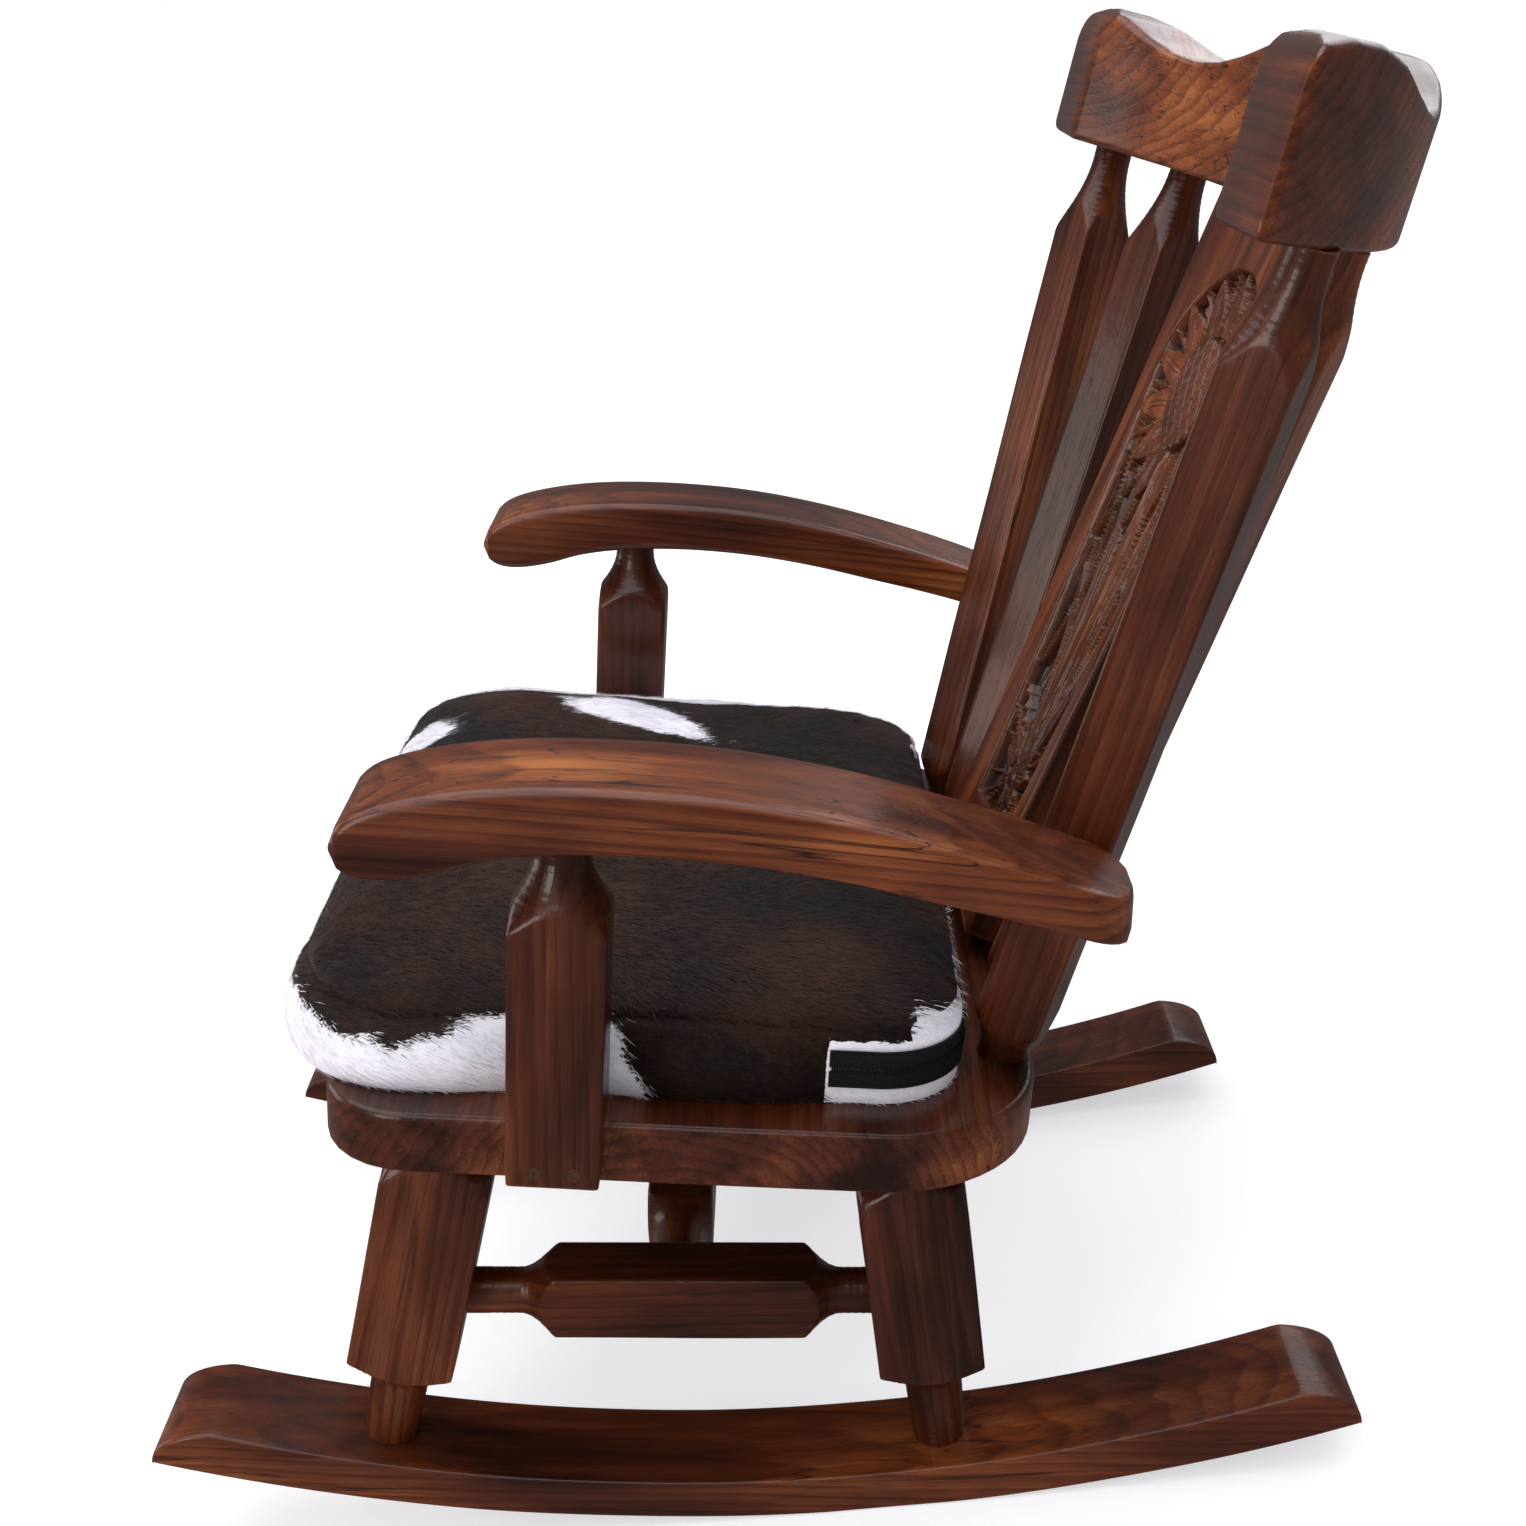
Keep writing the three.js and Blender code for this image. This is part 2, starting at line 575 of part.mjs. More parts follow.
function zipPull() {
  const y = CUSHION.rearY + 0.4 + GAP + 2.4;
  const bar = box(3, 1, 5, move(ZIP.sliderX, y, ZIP.height - 1));
  const tab = box(6, 1.2, 20, move(ZIP.sliderX, y, ZIP.height - 1.8 - 10));
  return onSeat(bar.add(tab));
}

// ---------------------------------------------------------------- assembly
const WOOD = { color: 0x4a2515, roughness: 0.35, metalness: 0 };
const END_WOOD = { color: 0x2c150d, roughness: 0.45, metalness: 0 };
const STEEL = { color: 0x9a9a98, roughness: 0.4, metalness: 1 };
const HIDE = { color: 0x241511, roughness: 0.8, metalness: 0 };
const FOAM = { color: 0xe6dcc0, roughness: 0.95, metalness: 0 };
const TAPE = { color: 0x0d0d10, roughness: 0.85, metalness: 0 };
const ZINC = { color: 0x3a3a3c, roughness: 0.35, metalness: 1 };

const chair = new THREE.Group();
function place(name, body, look) {
  chair.add(meshOf(name, body, look));
}

const sides = [['left', 1], ['right', -1]];
const posts = [['outer', OUTER_POST], ['inner', INNER_POST]];
const legs = [['front', FRONT_LEG], ['rear', REAR_LEG]];

let seat = seatBody();
let crest = crestBody();
const splat = splatBoard(0).add(splatTenon(0)).subtract(splatCarving());
seat = seat.subtract(splatTenon(GAP));
crest = crest.subtract(splatBoard(GAP));

for (const [sideName, side] of sides) {
  let rocker = sawn(rockerOutline(), ROCKER.width, side * ROCKER.x, ROCKER.chamfer);
  let arm = armBody(side);
  for (const [legName, leg] of legs) {
    rocker = rocker.subtract(legBody(leg, side, GAP));
    seat = seat.subtract(legBody(leg, side, GAP));
    const body = legBody(leg, side).subtract(sideStretcherBody(side, GAP));
    place(`leg_${legName}_${sideName}`, body, WOOD);
  }
  place(`rocker_${sideName}`, rocker, WOOD);
  place(`stretcher_${sideName}`, sideStretcherBody(side).subtract(crossStretcherBody(GAP)), WOOD);
  for (const [postName, post] of posts) {
    const grown = backPostBody(post, side, GAP);
    seat = seat.subtract(grown);
    crest = crest.subtract(grown);
    arm = arm.subtract(grown);
    place(`back_post_${postName}_${sideName}`, backPostBody(post, side), WOOD);
  }
  arm = arm.subtract(armPostTenon(side, GAP));
  let post = armPostBody(side).subtract(arm);
  for (const [spotName, spot] of [['front', -1], ['rear', 1]]) {
    const holes = plugBody(side, spot, GAP).add(screwBody(side, spot, GAP));
    post = post.subtract(holes);
    seat = seat.subtract(holes);
    place(`arm_post_plug_${spotName}_${sideName}`, plugBody(side, spot), END_WOOD);
    place(`arm_post_screw_${spotName}_${sideName}`, screwBody(side, spot), STEEL);
  }
  place(`arm_${sideName}`, arm, WOOD);
  place(`arm_post_${sideName}`, post, WOOD);
}

place('cross_stretcher', crossStretcherBody(), WOOD);
place('seat_board', seat, WOOD);
place('back_splat', splat, WOOD);
place('crest_rail', crest, WOOD);
place('cushion_cover', cushionCover(), HIDE);
place('cushion_pad', cushionPad(), FOAM);
place('zip_tape_upper', zipTape(true), TAPE);
place('zip_tape_lower', zipTape(false), TAPE);
place('zip_slider', zipSlider(), ZINC);
place('zip_pull', zipPull(), ZINC);

// The chair leans to its balance and stands with its middle over the origin.
chair.rotation.x = -rad(BALANCE_DEG);
chair.updateMatrixWorld(true);
const extent = new THREE.Box3().setFromObject(chair, true);
chair.position.set(0, -(extent.min.y + extent.max.y) / 2, -extent.min.z);

export default chair;
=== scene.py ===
import bpy
import json
from math import acos, copysign, cos, degrees, dist, exp, hypot, pi, radians, sin, sqrt, tan
import numpy as np
from mathutils import Matrix, Vector
from types import SimpleNamespace as Sizes

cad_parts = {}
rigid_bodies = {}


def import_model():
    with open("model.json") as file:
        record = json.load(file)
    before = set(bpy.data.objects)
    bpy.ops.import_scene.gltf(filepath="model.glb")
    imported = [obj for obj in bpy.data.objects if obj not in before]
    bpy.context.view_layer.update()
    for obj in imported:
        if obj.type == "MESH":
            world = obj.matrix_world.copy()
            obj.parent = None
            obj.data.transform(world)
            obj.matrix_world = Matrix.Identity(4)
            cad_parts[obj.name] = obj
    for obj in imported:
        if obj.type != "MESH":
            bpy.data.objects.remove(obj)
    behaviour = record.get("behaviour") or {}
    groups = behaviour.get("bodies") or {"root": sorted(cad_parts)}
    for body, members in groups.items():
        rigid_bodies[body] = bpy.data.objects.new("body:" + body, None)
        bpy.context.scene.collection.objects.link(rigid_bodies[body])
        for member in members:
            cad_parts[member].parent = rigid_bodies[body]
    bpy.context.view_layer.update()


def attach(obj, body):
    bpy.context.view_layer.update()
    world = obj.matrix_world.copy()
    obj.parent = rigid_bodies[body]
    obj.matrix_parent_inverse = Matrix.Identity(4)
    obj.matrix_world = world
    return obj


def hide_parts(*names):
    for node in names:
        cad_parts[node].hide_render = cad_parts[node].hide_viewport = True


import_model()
rng = np.random.default_rng(7)

# ---- shared dimensions
# Millimetres, in the chair's own frame before it leans back: X to the chair's left, Y to its
# rear and Z up. make_piece turns points in this frame into leaning metres.
MM = 0.001
BALANCE = radians(6.2)        # the chair leans back until it balances
LEAN = Matrix.Translation((0, -62.63 * MM, 0.85 * MM)) @ Matrix.Rotation(-BALANCE, 4, "X")
SEAT = Sizes(front=-292, rear=192, half=347, thick=43, z=372, slope=radians(3.0),
            r_front=62, r_rear=112, edge=5)
ROCKER = Sizes(x=257.5, width=84, r_bottom=1481, r_top=1335, low_y=-66, thick=31.5,
              front=-443, rear=431, nose=44, half_chord=45)
LEG = Sizes(size=76, neck_top=24, neck_low=18.5, tenon=18.0, taper=3.0, step=2.5, low=70,
           rise=32, cove=46, socket=22, foot=21)
LEG_ENDS = (("front", -209, -281), ("rear", 97, 135))      # y at the seat and at the runner
STRETCHER = Sizes(size=50, neck=16.5, z=170, y0=-152, y1=36, start=-226, end=100)
CROSS = Sizes(size=49, neck=17.5, y=-62, half=172, reach=250)
ARM_POST = Sizes(x=343, size=62, foot=(-133, 331), head=(-119, 572), shoulder=177, neck=17)
OUTER_POST = Sizes(foot=(226, 167, 348), head=(333, 305, 912), turn=-26, wide=48, deep=48, high=520)
INNER_POST = Sizes(foot=(150, 180, 347), head=(233, 350, 899), turn=-30, wide=46, deep=46, high=522)
SPLAT = Sizes(foot=(0, 167, 348), head=(0, 384, 893), half_foot=82, half_head=112, deep=36)
CREST = Sizes(outer=583, inner=505, centre=-150, front=259, half=409, z=927,
             tilt=radians(13), edge=7.0)
CUSHION = Sizes(front=-318, rear=137, half=306, boxing=58, r_front=84, r_rear=60)
ZIP = Sizes(z=27, from_y=44, proud=1.2, pitch=1.7)
# Top of the crest: degrees along its arc from the middle, and height.
CREST_TOP = [(0, 117), (5, 114), (9.7, 105), (14, 94), (18.2, 85), (21.5, 82), (25.5, 84.5),
             (29.5, 92), (33.5, 103), (37.5, 108.5), (41, 107), (44, 101), (47, 90), (50, 74)]
ARM = Sizes(front=-254.5, rear=231.0, inner=296, outer=390, r_nose=5, r_inner=20, r_outer=36)
# Side view of an arm: y and z along its top and along its underside.
ARM_TOP = [(-254.5, 575), (-253, 583), (-248, 590), (-240, 596), (-224, 602), (-198, 607.5),
           (-165, 611.5), (-120, 613), (-70, 611), (-22, 606), (25, 598), (73, 587), (121, 573),
           (170, 557), (205, 544), (231, 533)]
ARM_BOTTOM = [(-254.5, 575), (-253, 566), (-248, 559), (-239, 554.5), (-222, 553), (-195, 557),
              (-165, 565), (-134, 569), (-95, 570), (-43, 567), (5, 561), (53, 552), (102, 540),
              (150, 528), (187, 517.5), (231, 502)]
SIDES = (("left", 1), ("right", -1))
# Carving: x and height up the board. A leaf is angle, length, half width, bow and depth.
CARVING = Sizes(arch_r=84.0, arch_v=455.0, foot_v=86.0, foot_half=50.0, flower_v=446.0, deep=14.0)
LEAVES = ((-0.24, 260, 8, 10, -4.5), (0.22, 268, 8, -10, -4.5), (-0.13, 316, 8, -9, -3),
          (0.11, 322, 9, 8, -2.5), (-0.36, 185, 9, 6, -3.5), (0.35, 190, 9, -6, -3.5),
          (0.03, 240, 7, 14, -2), (-0.30, 300, 7, 18, -6), (0.29, 304, 7, -18, -6))
PETALS = 13
BUD_PETALS = ((-1.25, 38), (1.25, 38), (-0.75, 44), (0.75, 44), (-0.25, 48), (0.3, 47),
              (2.2, 30), (-2.2, 30), (3.14, 30))
# Corners of a block, numbered by height, then length, then thickness.
BLOCK_FACES = ((0, 1, 3, 2), (4, 6, 7, 5), (0, 4, 5, 1), (2, 3, 7, 6), (0, 2, 6, 4), (1, 5, 7, 3))
RING_PITCH = 0.0085                # metres between growth rings
AS_LIGHT, IN_LACQUER = 0.50, 0.16  # strength of the white surroundings


# ---- camera
def link(thing):
    bpy.context.scene.collection.objects.link(thing)


def make_camera():
    """Camera in the chair's own frame, carried along by the lean."""
    yaw, pitch, roll = (radians(a) for a in (-0.448, 21.29, -0.213))
    ahead = Vector((-cos(yaw) * cos(pitch), sin(yaw) * cos(pitch),
                    -sin(pitch)))
    right = Vector((sin(yaw), cos(yaw), 0))
    up = right.cross(ahead)
    turned = right * cos(roll) + up * sin(roll)
    raised = up * cos(roll) - right * sin(roll)
    place = Matrix((turned, raised, -ahead)).transposed().to_4x4()
    place.translation = Vector((1485.4, 12.5, 1057.5)) * MM
    data = bpy.data.cameras.new("camera")
    data.lens = 47.83
    data.sensor_width = 36
    camera = bpy.data.objects.new("camera", data)
    link(camera)
    camera.matrix_world = LEAN @ place
    bpy.context.scene.camera = camera


# ---- mesh helpers
def smooth_noise(p, scale, seed=0.0):
    """Cheap smooth noise of points (n, 3), about -1 to 1."""
    q = np.asarray(p) / scale
    a = np.sin(q[..., 0] * 1.7 + 1.3 * np.sin(q[..., 1] * 1.1 + seed) + seed)
    b = np.sin(q[..., 1] * 1.9 + 1.1 * np.sin(q[..., 2] * 1.3 + 2 * seed) + 2.1 * seed)
    c = np.sin(q[..., 2] * 1.5 + 1.2 * np.sin(q[..., 0] * 1.2 + 3 * seed) + 0.7 * seed)
    return (a + b + c) / 3


def make_piece(name, points, faces, grain, body, slot, material, node=None, sharp=38):
    """Mesh from millimetre points in the chair's own frame, moved to the leaning frame."""
    mesh = bpy.data.meshes.new(name)
    mesh.from_pydata([tuple(v) for v in np.asarray(points) * MM], [], faces)
    mesh.transform(LEAN)
    values = mesh.attributes.new("grain", "FLOAT_VECTOR", "POINT")
    values.data.foreach_set("vector", (np.asarray(grain) * MM).astype(np.float32).ravel())
    mesh.shade_smooth()
    mesh.set_sharp_from_angle(angle=radians(sharp))
    piece = bpy.data.objects.new(name, mesh)
    link(piece)
    mesh.materials.append(material)
    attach(piece, body)
    if node:
        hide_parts(node)
    return piece


def ring_faces(rows, cols):
    """Quads between closed rings, with a fan on the first and last ring's centre point."""
    faces = []
    for i in range(rows - 1):
        for j in range(cols):
            k = (j + 1) % cols
            faces.append((i * cols + j, i * cols + k, (i + 1) * cols + k, (i + 1) * cols + j))
    first, last = rows * cols, rows * cols + 1
    for j in range(cols):
        k = (j + 1) % cols
        faces.append((first, k, j))
        faces.append((last, (rows - 1) * cols + j, (rows - 1) * cols + k))
    return faces


def ring_solid(name, rings, grain, **more):
    """Closed piece from rings of shape (rows, cols, 3) and matching grain coordinates."""
    points, coords = (np.concatenate([a.reshape(-1, 3), a[0].mean(0)[None], a[-1].mean(0)[None]])
                      for a in (rings, grain))
    faces = ring_faces(*rings.shape[:2])
    if signed_volume(points, faces) < 0:
        faces = [tuple(reversed(f)) for f in faces]
    return make_piece(name, points, faces, coords, **more)


def wood_piece(name, rings, grain, wood, sharp=38):
    """Stained wooden piece in place of the CAD node of the same name."""
    return ring_solid(name, rings, grain, body="chair", slot="stained_wood", node=name,
                      material=wood, sharp=sharp)


def signed_volume(points, faces):
    """Six times the volume inside the faces, below zero if they face inwards."""
    total = 0.0
    for f in faces:
        a = points[f[0]]
        for i in range(1, len(f) - 1):
            total += np.dot(a, np.cross(points[f[i]], points[f[i + 1]]))
    return total


def rounded_ring(half_w, half_h, radius, straight=7, corner=5):
    """Points of a rounded rectangle about the origin, anticlockwise, (n, 2)."""
    def point(quarter, turn):
        sx, sy = ((1, 1), (-1, 1), (-1, -1), (1, -1))[quarter % 4]
        a = pi / 2 * turn
        return np.array((sx * (half_w - radius) + radius * cos(a),
                         sy * (half_h - radius) + radius * sin(a)))
    out = []
    for q in range(4):
        out += [point(q, q + i / corner) for i in range(corner + 1)]
        start, goal = out[-1], point(q + 1, q + 1)
        out += [start + (goal - start) * i / straight for i in range(1, straight)]
    return np.array(out)


def curve_through(knots, xs):
    """Smooth height through knots (x, z) by a Catmull-Rom on the square root of x - first."""
    x0 = knots[0][0]
    u = np.sqrt(np.array([k[0] for k in knots]) - x0)
    z = np.array([k[1] for k in knots], float)
    slope = np.gradient(z, u)
    q = np.sqrt(np.maximum(np.asarray(xs) - x0, 0))
    i = np.clip(np.searchsorted(u, q) - 1, 0, len(u) - 2)
    h = u[i + 1] - u[i]
    t = (q - u[i]) / h
    a = (2 * t**3 - 3 * t**2 + 1) * z[i] + (t**3 - 2 * t**2 + t) * h * slope[i]
    return a + (3 * t**2 - 2 * t**3) * z[i + 1] + (t**3 - t**2) * h * slope[i + 1]


# ---- turned-square pieces
def axis_frame(start, end, turn):
    start = np.array(start, float)
    axis = np.array(end, float) - start
    length = np.linalg.norm(axis)
    axis /= length
    side = np.array((0.0, 1, 0)) if abs(axis[0]) > 0.9 else np.array((1.0, 0, 0))
    front = np.cross(axis, side)
    front /= np.linalg.norm(front)
    side = np.cross(front, axis)
    c, s = cos(turn), sin(turn)
    return start, length, side * c + front * s, front * c - side * s, axis


def cove_radius(t, neck, far, start, stop):
    """Radius at t along a cove that leaves the neck at start and meets the corner at stop."""
    w = np.clip((t - start) / (stop - start), 0, 1)
    return neck + (far - neck) * (1 - np.cos(w * pi / 2))


def turned_square(name, start, end, turn, wide, deep, radius_at, fine, seed, wood):
    """Square blank with rounded arrises, cut by the lathe radius: arched shoulders."""
    origin, length, side, front, axis = axis_frame(start, end, turn)
    ring = rounded_ring(wide / 2, deep / 2, 3.0, straight=14, corner=4)
    reach = np.linalg.norm(ring, axis=1)
    unit = ring / reach[:, None]
    stops = [np.linspace(0, length, max(8, int(length / 14)))]
    stops += [np.linspace(a, b, max(6, int(abs(b - a) / 1.6))) for a, b in fine]
    stops = np.unique(np.round(np.clip(np.concatenate(stops), 0, length), 2))
    lathe = radius_at(stops)
    soft = 0.7
    d = (reach[None, :] - lathe[:, None]) / soft
    rho = lathe[:, None] - soft * np.log1p(np.exp(-np.clip(d, -40, 40)))
    rho = np.where(d < -40, reach[None, :], rho)
    grow = 0.5 * smooth_noise(np.stack([unit[None, :, 0] * rho, unit[None, :, 1] * rho,
                                        np.broadcast_to(stops[:, None], rho.shape)], -1), 55, seed)
    rho = rho + grow
    turned = np.clip((reach[None, :] - lathe[:, None]) / 2.0, 0, 1)
    rho = rho + 0.13 * turned * np.sin(stops[:, None] * 2.6 + 0.6 * np.sin(stops[:, None] / 9))
    rho[0] *= 0.97
    rho[-1] *= 0.97
    local = unit[None] * rho[..., None]
    points = (origin + local[..., :1] * side + local[..., 1:] * front
              + stops[:, None, None] * axis)
    grain = np.concatenate([local, np.broadcast_to(stops[:, None, None], rho.shape + (1,))], -1)
    shift = np.array((seed * 37.0 % 61 - 30, seed * 53.0 % 47 + 18, seed * 211.0 % 997))
    wood_piece(name, points, grain + shift, wood)


def seat_top(y):
    return SEAT.z - (y - SEAT.front) * tan(SEAT.slope)


def rocker_top(y):
    r = ROCKER.r_top
    return ROCKER.thick + r - sqrt(r * r - (y - ROCKER.low_y) ** 2)


def write_values(piece, name, values, rest=0.0):
    """One number per point for the materials; points past the end of values get rest."""
    full = np.full(len(piece.data.vertices), rest, np.float32)
    full[:len(values)] = values
    piece.data.attributes.new(name, "FLOAT", "POINT").data.foreach_set("value", full)


def blank_corner(wide, deep):
    """Radius that just clears the corners of a squared blank."""
    return hypot(wide, deep) / 2 + 1


def spindle_radius(neck, corner, low, high, run):
    """Radius of a bar that stays square from low to high and is a thin neck beyond."""
    ease = 6

    def radius(t):
        return np.minimum(cove_radius(t, neck, corner, low - run, low + ease),
                          cove_radius(-t, neck, corner, -(high + run), -(high - ease)))
    return radius


def make_legs(wood):
    size, low, cove = LEG.size, LEG.low, LEG.cove
    corner = blank_corner(size, size)
    seed = 1
    for side_name, side in SIDES:
        for name, top_y, foot_y in LEG_ENDS:
            foot = (side * ROCKER.x, foot_y, rocker_top(foot_y) - LEG.foot)
            head = (side * ROCKER.x, top_y, seat_top(top_y) - SEAT.thick + LEG.socket)
            upper = dist(foot, head) - LEG.socket

            def radius(t, upper=upper):
                ankle = cove_radius(t, LEG.neck_low, corner, low, low + LEG.rise)
                tenon = LEG.tenon + LEG.taper * t / low
                bottom = np.where(t < low, tenon, ankle + LEG.step)
                top = cove_radius(-t, LEG.neck_top, corner, -upper + 2, -upper + cove)
                return np.minimum(bottom, top)
            fine = ((18, low + 36), (upper - 36, upper + 4))
            turned_square(f"leg_{name}_{side_name}", foot, head, 0, size, size, radius, fine,
                          seed, wood)
            seed += 1


def make_stretchers(wood):
    s, c = STRETCHER, CROSS
    corner = blank_corner(s.size, s.size)
    radius = spindle_radius(s.neck, corner, s.y0 - s.start, s.y1 - s.start, 22)
    for seed, (side_name, side) in enumerate(SIDES, 11):
        x = side * ROCKER.x
        turned_square(f"stretcher_{side_name}", (x, s.start, s.z), (x, s.end, s.z), 0,
                      s.size, s.size, radius, ((30, 90), (250, 310)), seed, wood)
    reach = c.reach
    radius = spindle_radius(c.neck, corner, reach - c.half, reach + c.half, 20)
    turned_square("cross_stretcher", (-reach, c.y, s.z), (reach, c.y, s.z), 0,
                  c.size, c.size, radius, ((40, 100), (400, 460)), 13, wood)


def make_arm_posts(wood):
    size, shoulder = ARM_POST.size, ARM_POST.shoulder
    corner = blank_corner(size, size)
    for seed, (side_name, side) in enumerate(SIDES, 21):
        foot = (side * ARM_POST.x, *ARM_POST.foot)
        head = (side * ARM_POST.x, *ARM_POST.head)
        length = dist(foot, head)

        def radius(t, length=length):
            return cove_radius(-t, ARM_POST.neck, corner, 14 - length, -shoulder)
        turned_square(f"arm_post_{side_name}", foot, head, 0, size, size, radius,
                      ((shoulder - 10, length),), seed, wood)


def make_back_posts(wood):
    """Posts run 14 mm into the seat and 6 mm into the crest; hand work sets each 3 mm off."""
    root, tenon, stray = 14, 6, 3
    seed = 31
    for side_name, side in SIDES:
        for name, post in (("outer", OUTER_POST), ("inner", INNER_POST)):
            foot, head = (np.array(getattr(post, end), float) * (side, 1, 1) + (0, stray * side, 0)
                          for end in ("foot", "head"))
            axis = (head - foot) / np.linalg.norm(head - foot)
            wide, deep, high = post.wide, post.deep, post.high
            corner = blank_corner(wide, deep)

            def radius(t, high=high, corner=corner):
                low = cove_radius(t, 17, corner, 16, 56)
                return np.minimum(low, cove_radius(-t, 15.5, corner, -(root + high + 66),
                                                   -(root + high - 4)))
            turned_square(f"back_post_{name}_{side_name}", foot - root * axis,
                          head + tenon * axis, side * radians(post.turn), wide, deep,
                          radius, ((10, 64), (high, high + 92)), seed, wood)
            seed += 1


# ---- sawn pieces
def sawn_beam(name, ys, low, high, inner, outer, edge, seed, wood, grain_turn=0.0):
    """Loft of rounded rectangles across X at each y, between two heights."""
    rings = []
    for y, z0, z1, x0, x1 in zip(ys, low, high, inner, outer):
        half_w, half_h = (x1 - x0) / 2, max((z1 - z0) / 2, 0.4)
        r = min(edge, half_h * 0.95, half_w * 0.95)
        ring = rounded_ring(half_w, half_h, r, straight=12, corner=4)
        rings.append(np.column_stack([ring[:, 0] + (x0 + x1) / 2, np.full(len(ring), y),
                                      ring[:, 1] + (z0 + z1) / 2]))
    rings = np.array(rings)
    rings[..., 2] += 0.5 * smooth_noise(rings, 60, seed)
    mid = (np.array(low) + np.array(high))[:, None] / 2
    grain = np.stack([rings[..., 0] - (inner[0] + outer[0]) / 2,
                      rings[..., 2] - mid * 0.15 + rings[..., 1] * tan(grain_turn),
                      rings[..., 1]], -1)
    grain = grain + np.array((seed * 29.0 % 41 - 20, seed * 47.0 % 53 + 14, seed * 311.0 % 977))
    wood_piece(name, rings, grain, wood)


def eased(a, b, n, power=2.0):
    """Stations from a to b, crowded near both ends."""
    t = np.linspace(-1, 1, n)
    s = np.sign(t) * (1 - (1 - np.abs(t)) ** power)
    return a + (b - a) * (s + 1) / 2


def rocker_bottom(ys):
    """Underside of a runner: its arc, with the short flat that it stands on."""
    r, low_y, half_chord = ROCKER.r_bottom, ROCKER.low_y, ROCKER.half_chord
    arc = r - np.sqrt(r**2 - (ys - low_y) ** 2)
    rise = r - sqrt(r**2 - half_chord**2)
    flat = r - (r - rise) / np.cos(BALANCE) + (ys - low_y) * tan(BALANCE)
    stands_at = low_y + r * sin(BALANCE)
    return np.where(np.abs(ys - stands_at) < half_chord + 1, np.maximum(arc, flat), arc)


def make_rockers(wood):
    r = ROCKER
    ys = eased(r.front, r.rear, 110)
    bottom = rocker_bottom(ys)
    top = np.array([rocker_top(y) for y in ys])
    for mid, sign, tip in ((r.rear - r.nose, 1, r.rear),
                           (r.front + r.nose, -1, r.front)):
        w = np.clip(sign * (ys - mid) / r.nose, 0, 1)
        tip_z = r.r_bottom - sqrt(r.r_bottom ** 2 - (tip - r.low_y) ** 2) + 3
        round_top = tip_z + (rocker_top(mid) - tip_z) * np.sqrt(np.maximum(1 - w**2, 0))
        top = np.where(w > 0, np.minimum(top, round_top), top)
    top = np.maximum(top, bottom + 1.2)
    for seed, (side_name, side) in enumerate(SIDES, 41):
        inner, outer = (np.full(len(ys), side * r.x + k * r.width / 2) for k in (-1, 1))
        sawn_beam(f"rocker_{side_name}", ys, bottom, top, inner, outer, 3.0, seed, wood)


def corner_inset(radius, past):
    """How far a plan corner of this radius has come in, at past millimetres into it."""
    return radius - np.sqrt(np.maximum(radius**2 - np.clip(past, 0, radius) ** 2, 0))


def make_arms(wood):
    a = ARM
    t = np.linspace(0, 1, 100)
    ys = a.front + (a.rear - a.front) * (0.5 * t**2.2 + 0.5 * (1 - (1 - t) ** 1.8))
    ys[0] = a.front + 0.1
    ys[-1] = a.rear
    top = curve_through(ARM_TOP, ys)
    bottom = curve_through(ARM_BOTTOM, ys)
    nose = corner_inset(a.r_nose, a.front + a.r_nose - ys)
    inner = a.inner + corner_inset(a.r_inner, ys - a.rear + a.r_inner) + nose
    outer = a.outer - corner_inset(a.r_outer, ys - a.rear + a.r_outer) - nose
    for seed, (side_name, side) in enumerate(SIDES, 51):
        edges = (inner, outer) if side > 0 else (-outer, -inner)
        sawn_beam(f"arm_{side_name}", ys, bottom, top, *edges, 7.0, seed, wood, 0.08)


def make_seat(wood):
    s = SEAT
    edge, under = s.edge, s.edge * 0.6
    quarter = [i / 6 * pi / 2 for i in range(7)]
    rows = [(edge, scale, 0.0) for scale in (0.02, 0.25, 0.5, 0.75, 0.9)]
    rows += [(edge * (1 - sin(a)), 1, -edge * (1 - cos(a))) for a in quarter]
    rows.append((0.0, 1, -s.thick / 2))
    rows += [(under * (1 - sin(a)), 1, -s.thick + under * (1 - cos(a)))
             for a in reversed(quarter)]
    rows += [(under, scale, -s.thick) for scale in (0.9, 0.5, 0.02)]
    centre = np.array((0, (s.front + s.rear) / 2))
    rings = []
    for inset, scale, z in rows:
        ring = plan_outline(s.half - inset, s.front + inset, s.rear - inset,
                            s.r_front - inset, s.r_rear - inset, 40)
        ring = centre + (ring - centre) * scale
        rings.append(np.column_stack([ring, np.full(len(ring), z)]))
    rings = on_seat(np.array(rings))
    rings[..., 2] += 0.4 * smooth_noise(rings, 90, 3)
    grain = np.stack([rings[..., 1], rings[..., 2] - 330, rings[..., 0]], -1)
    wood_piece("seat_board", rings, grain + np.array((60, 90, 500)), wood)


def on_seat(local):
    """Points drawn on the seat's top plane, moved to the chair's own frame."""
    c, s = cos(SEAT.slope), sin(SEAT.slope)
    out = np.array(local, float)
    y, z = out[..., 1].copy(), out[..., 2].copy()
    out[..., 1] = y * c + z * s
    out[..., 2] = seat_top(0) - y * s + z * c
    return out


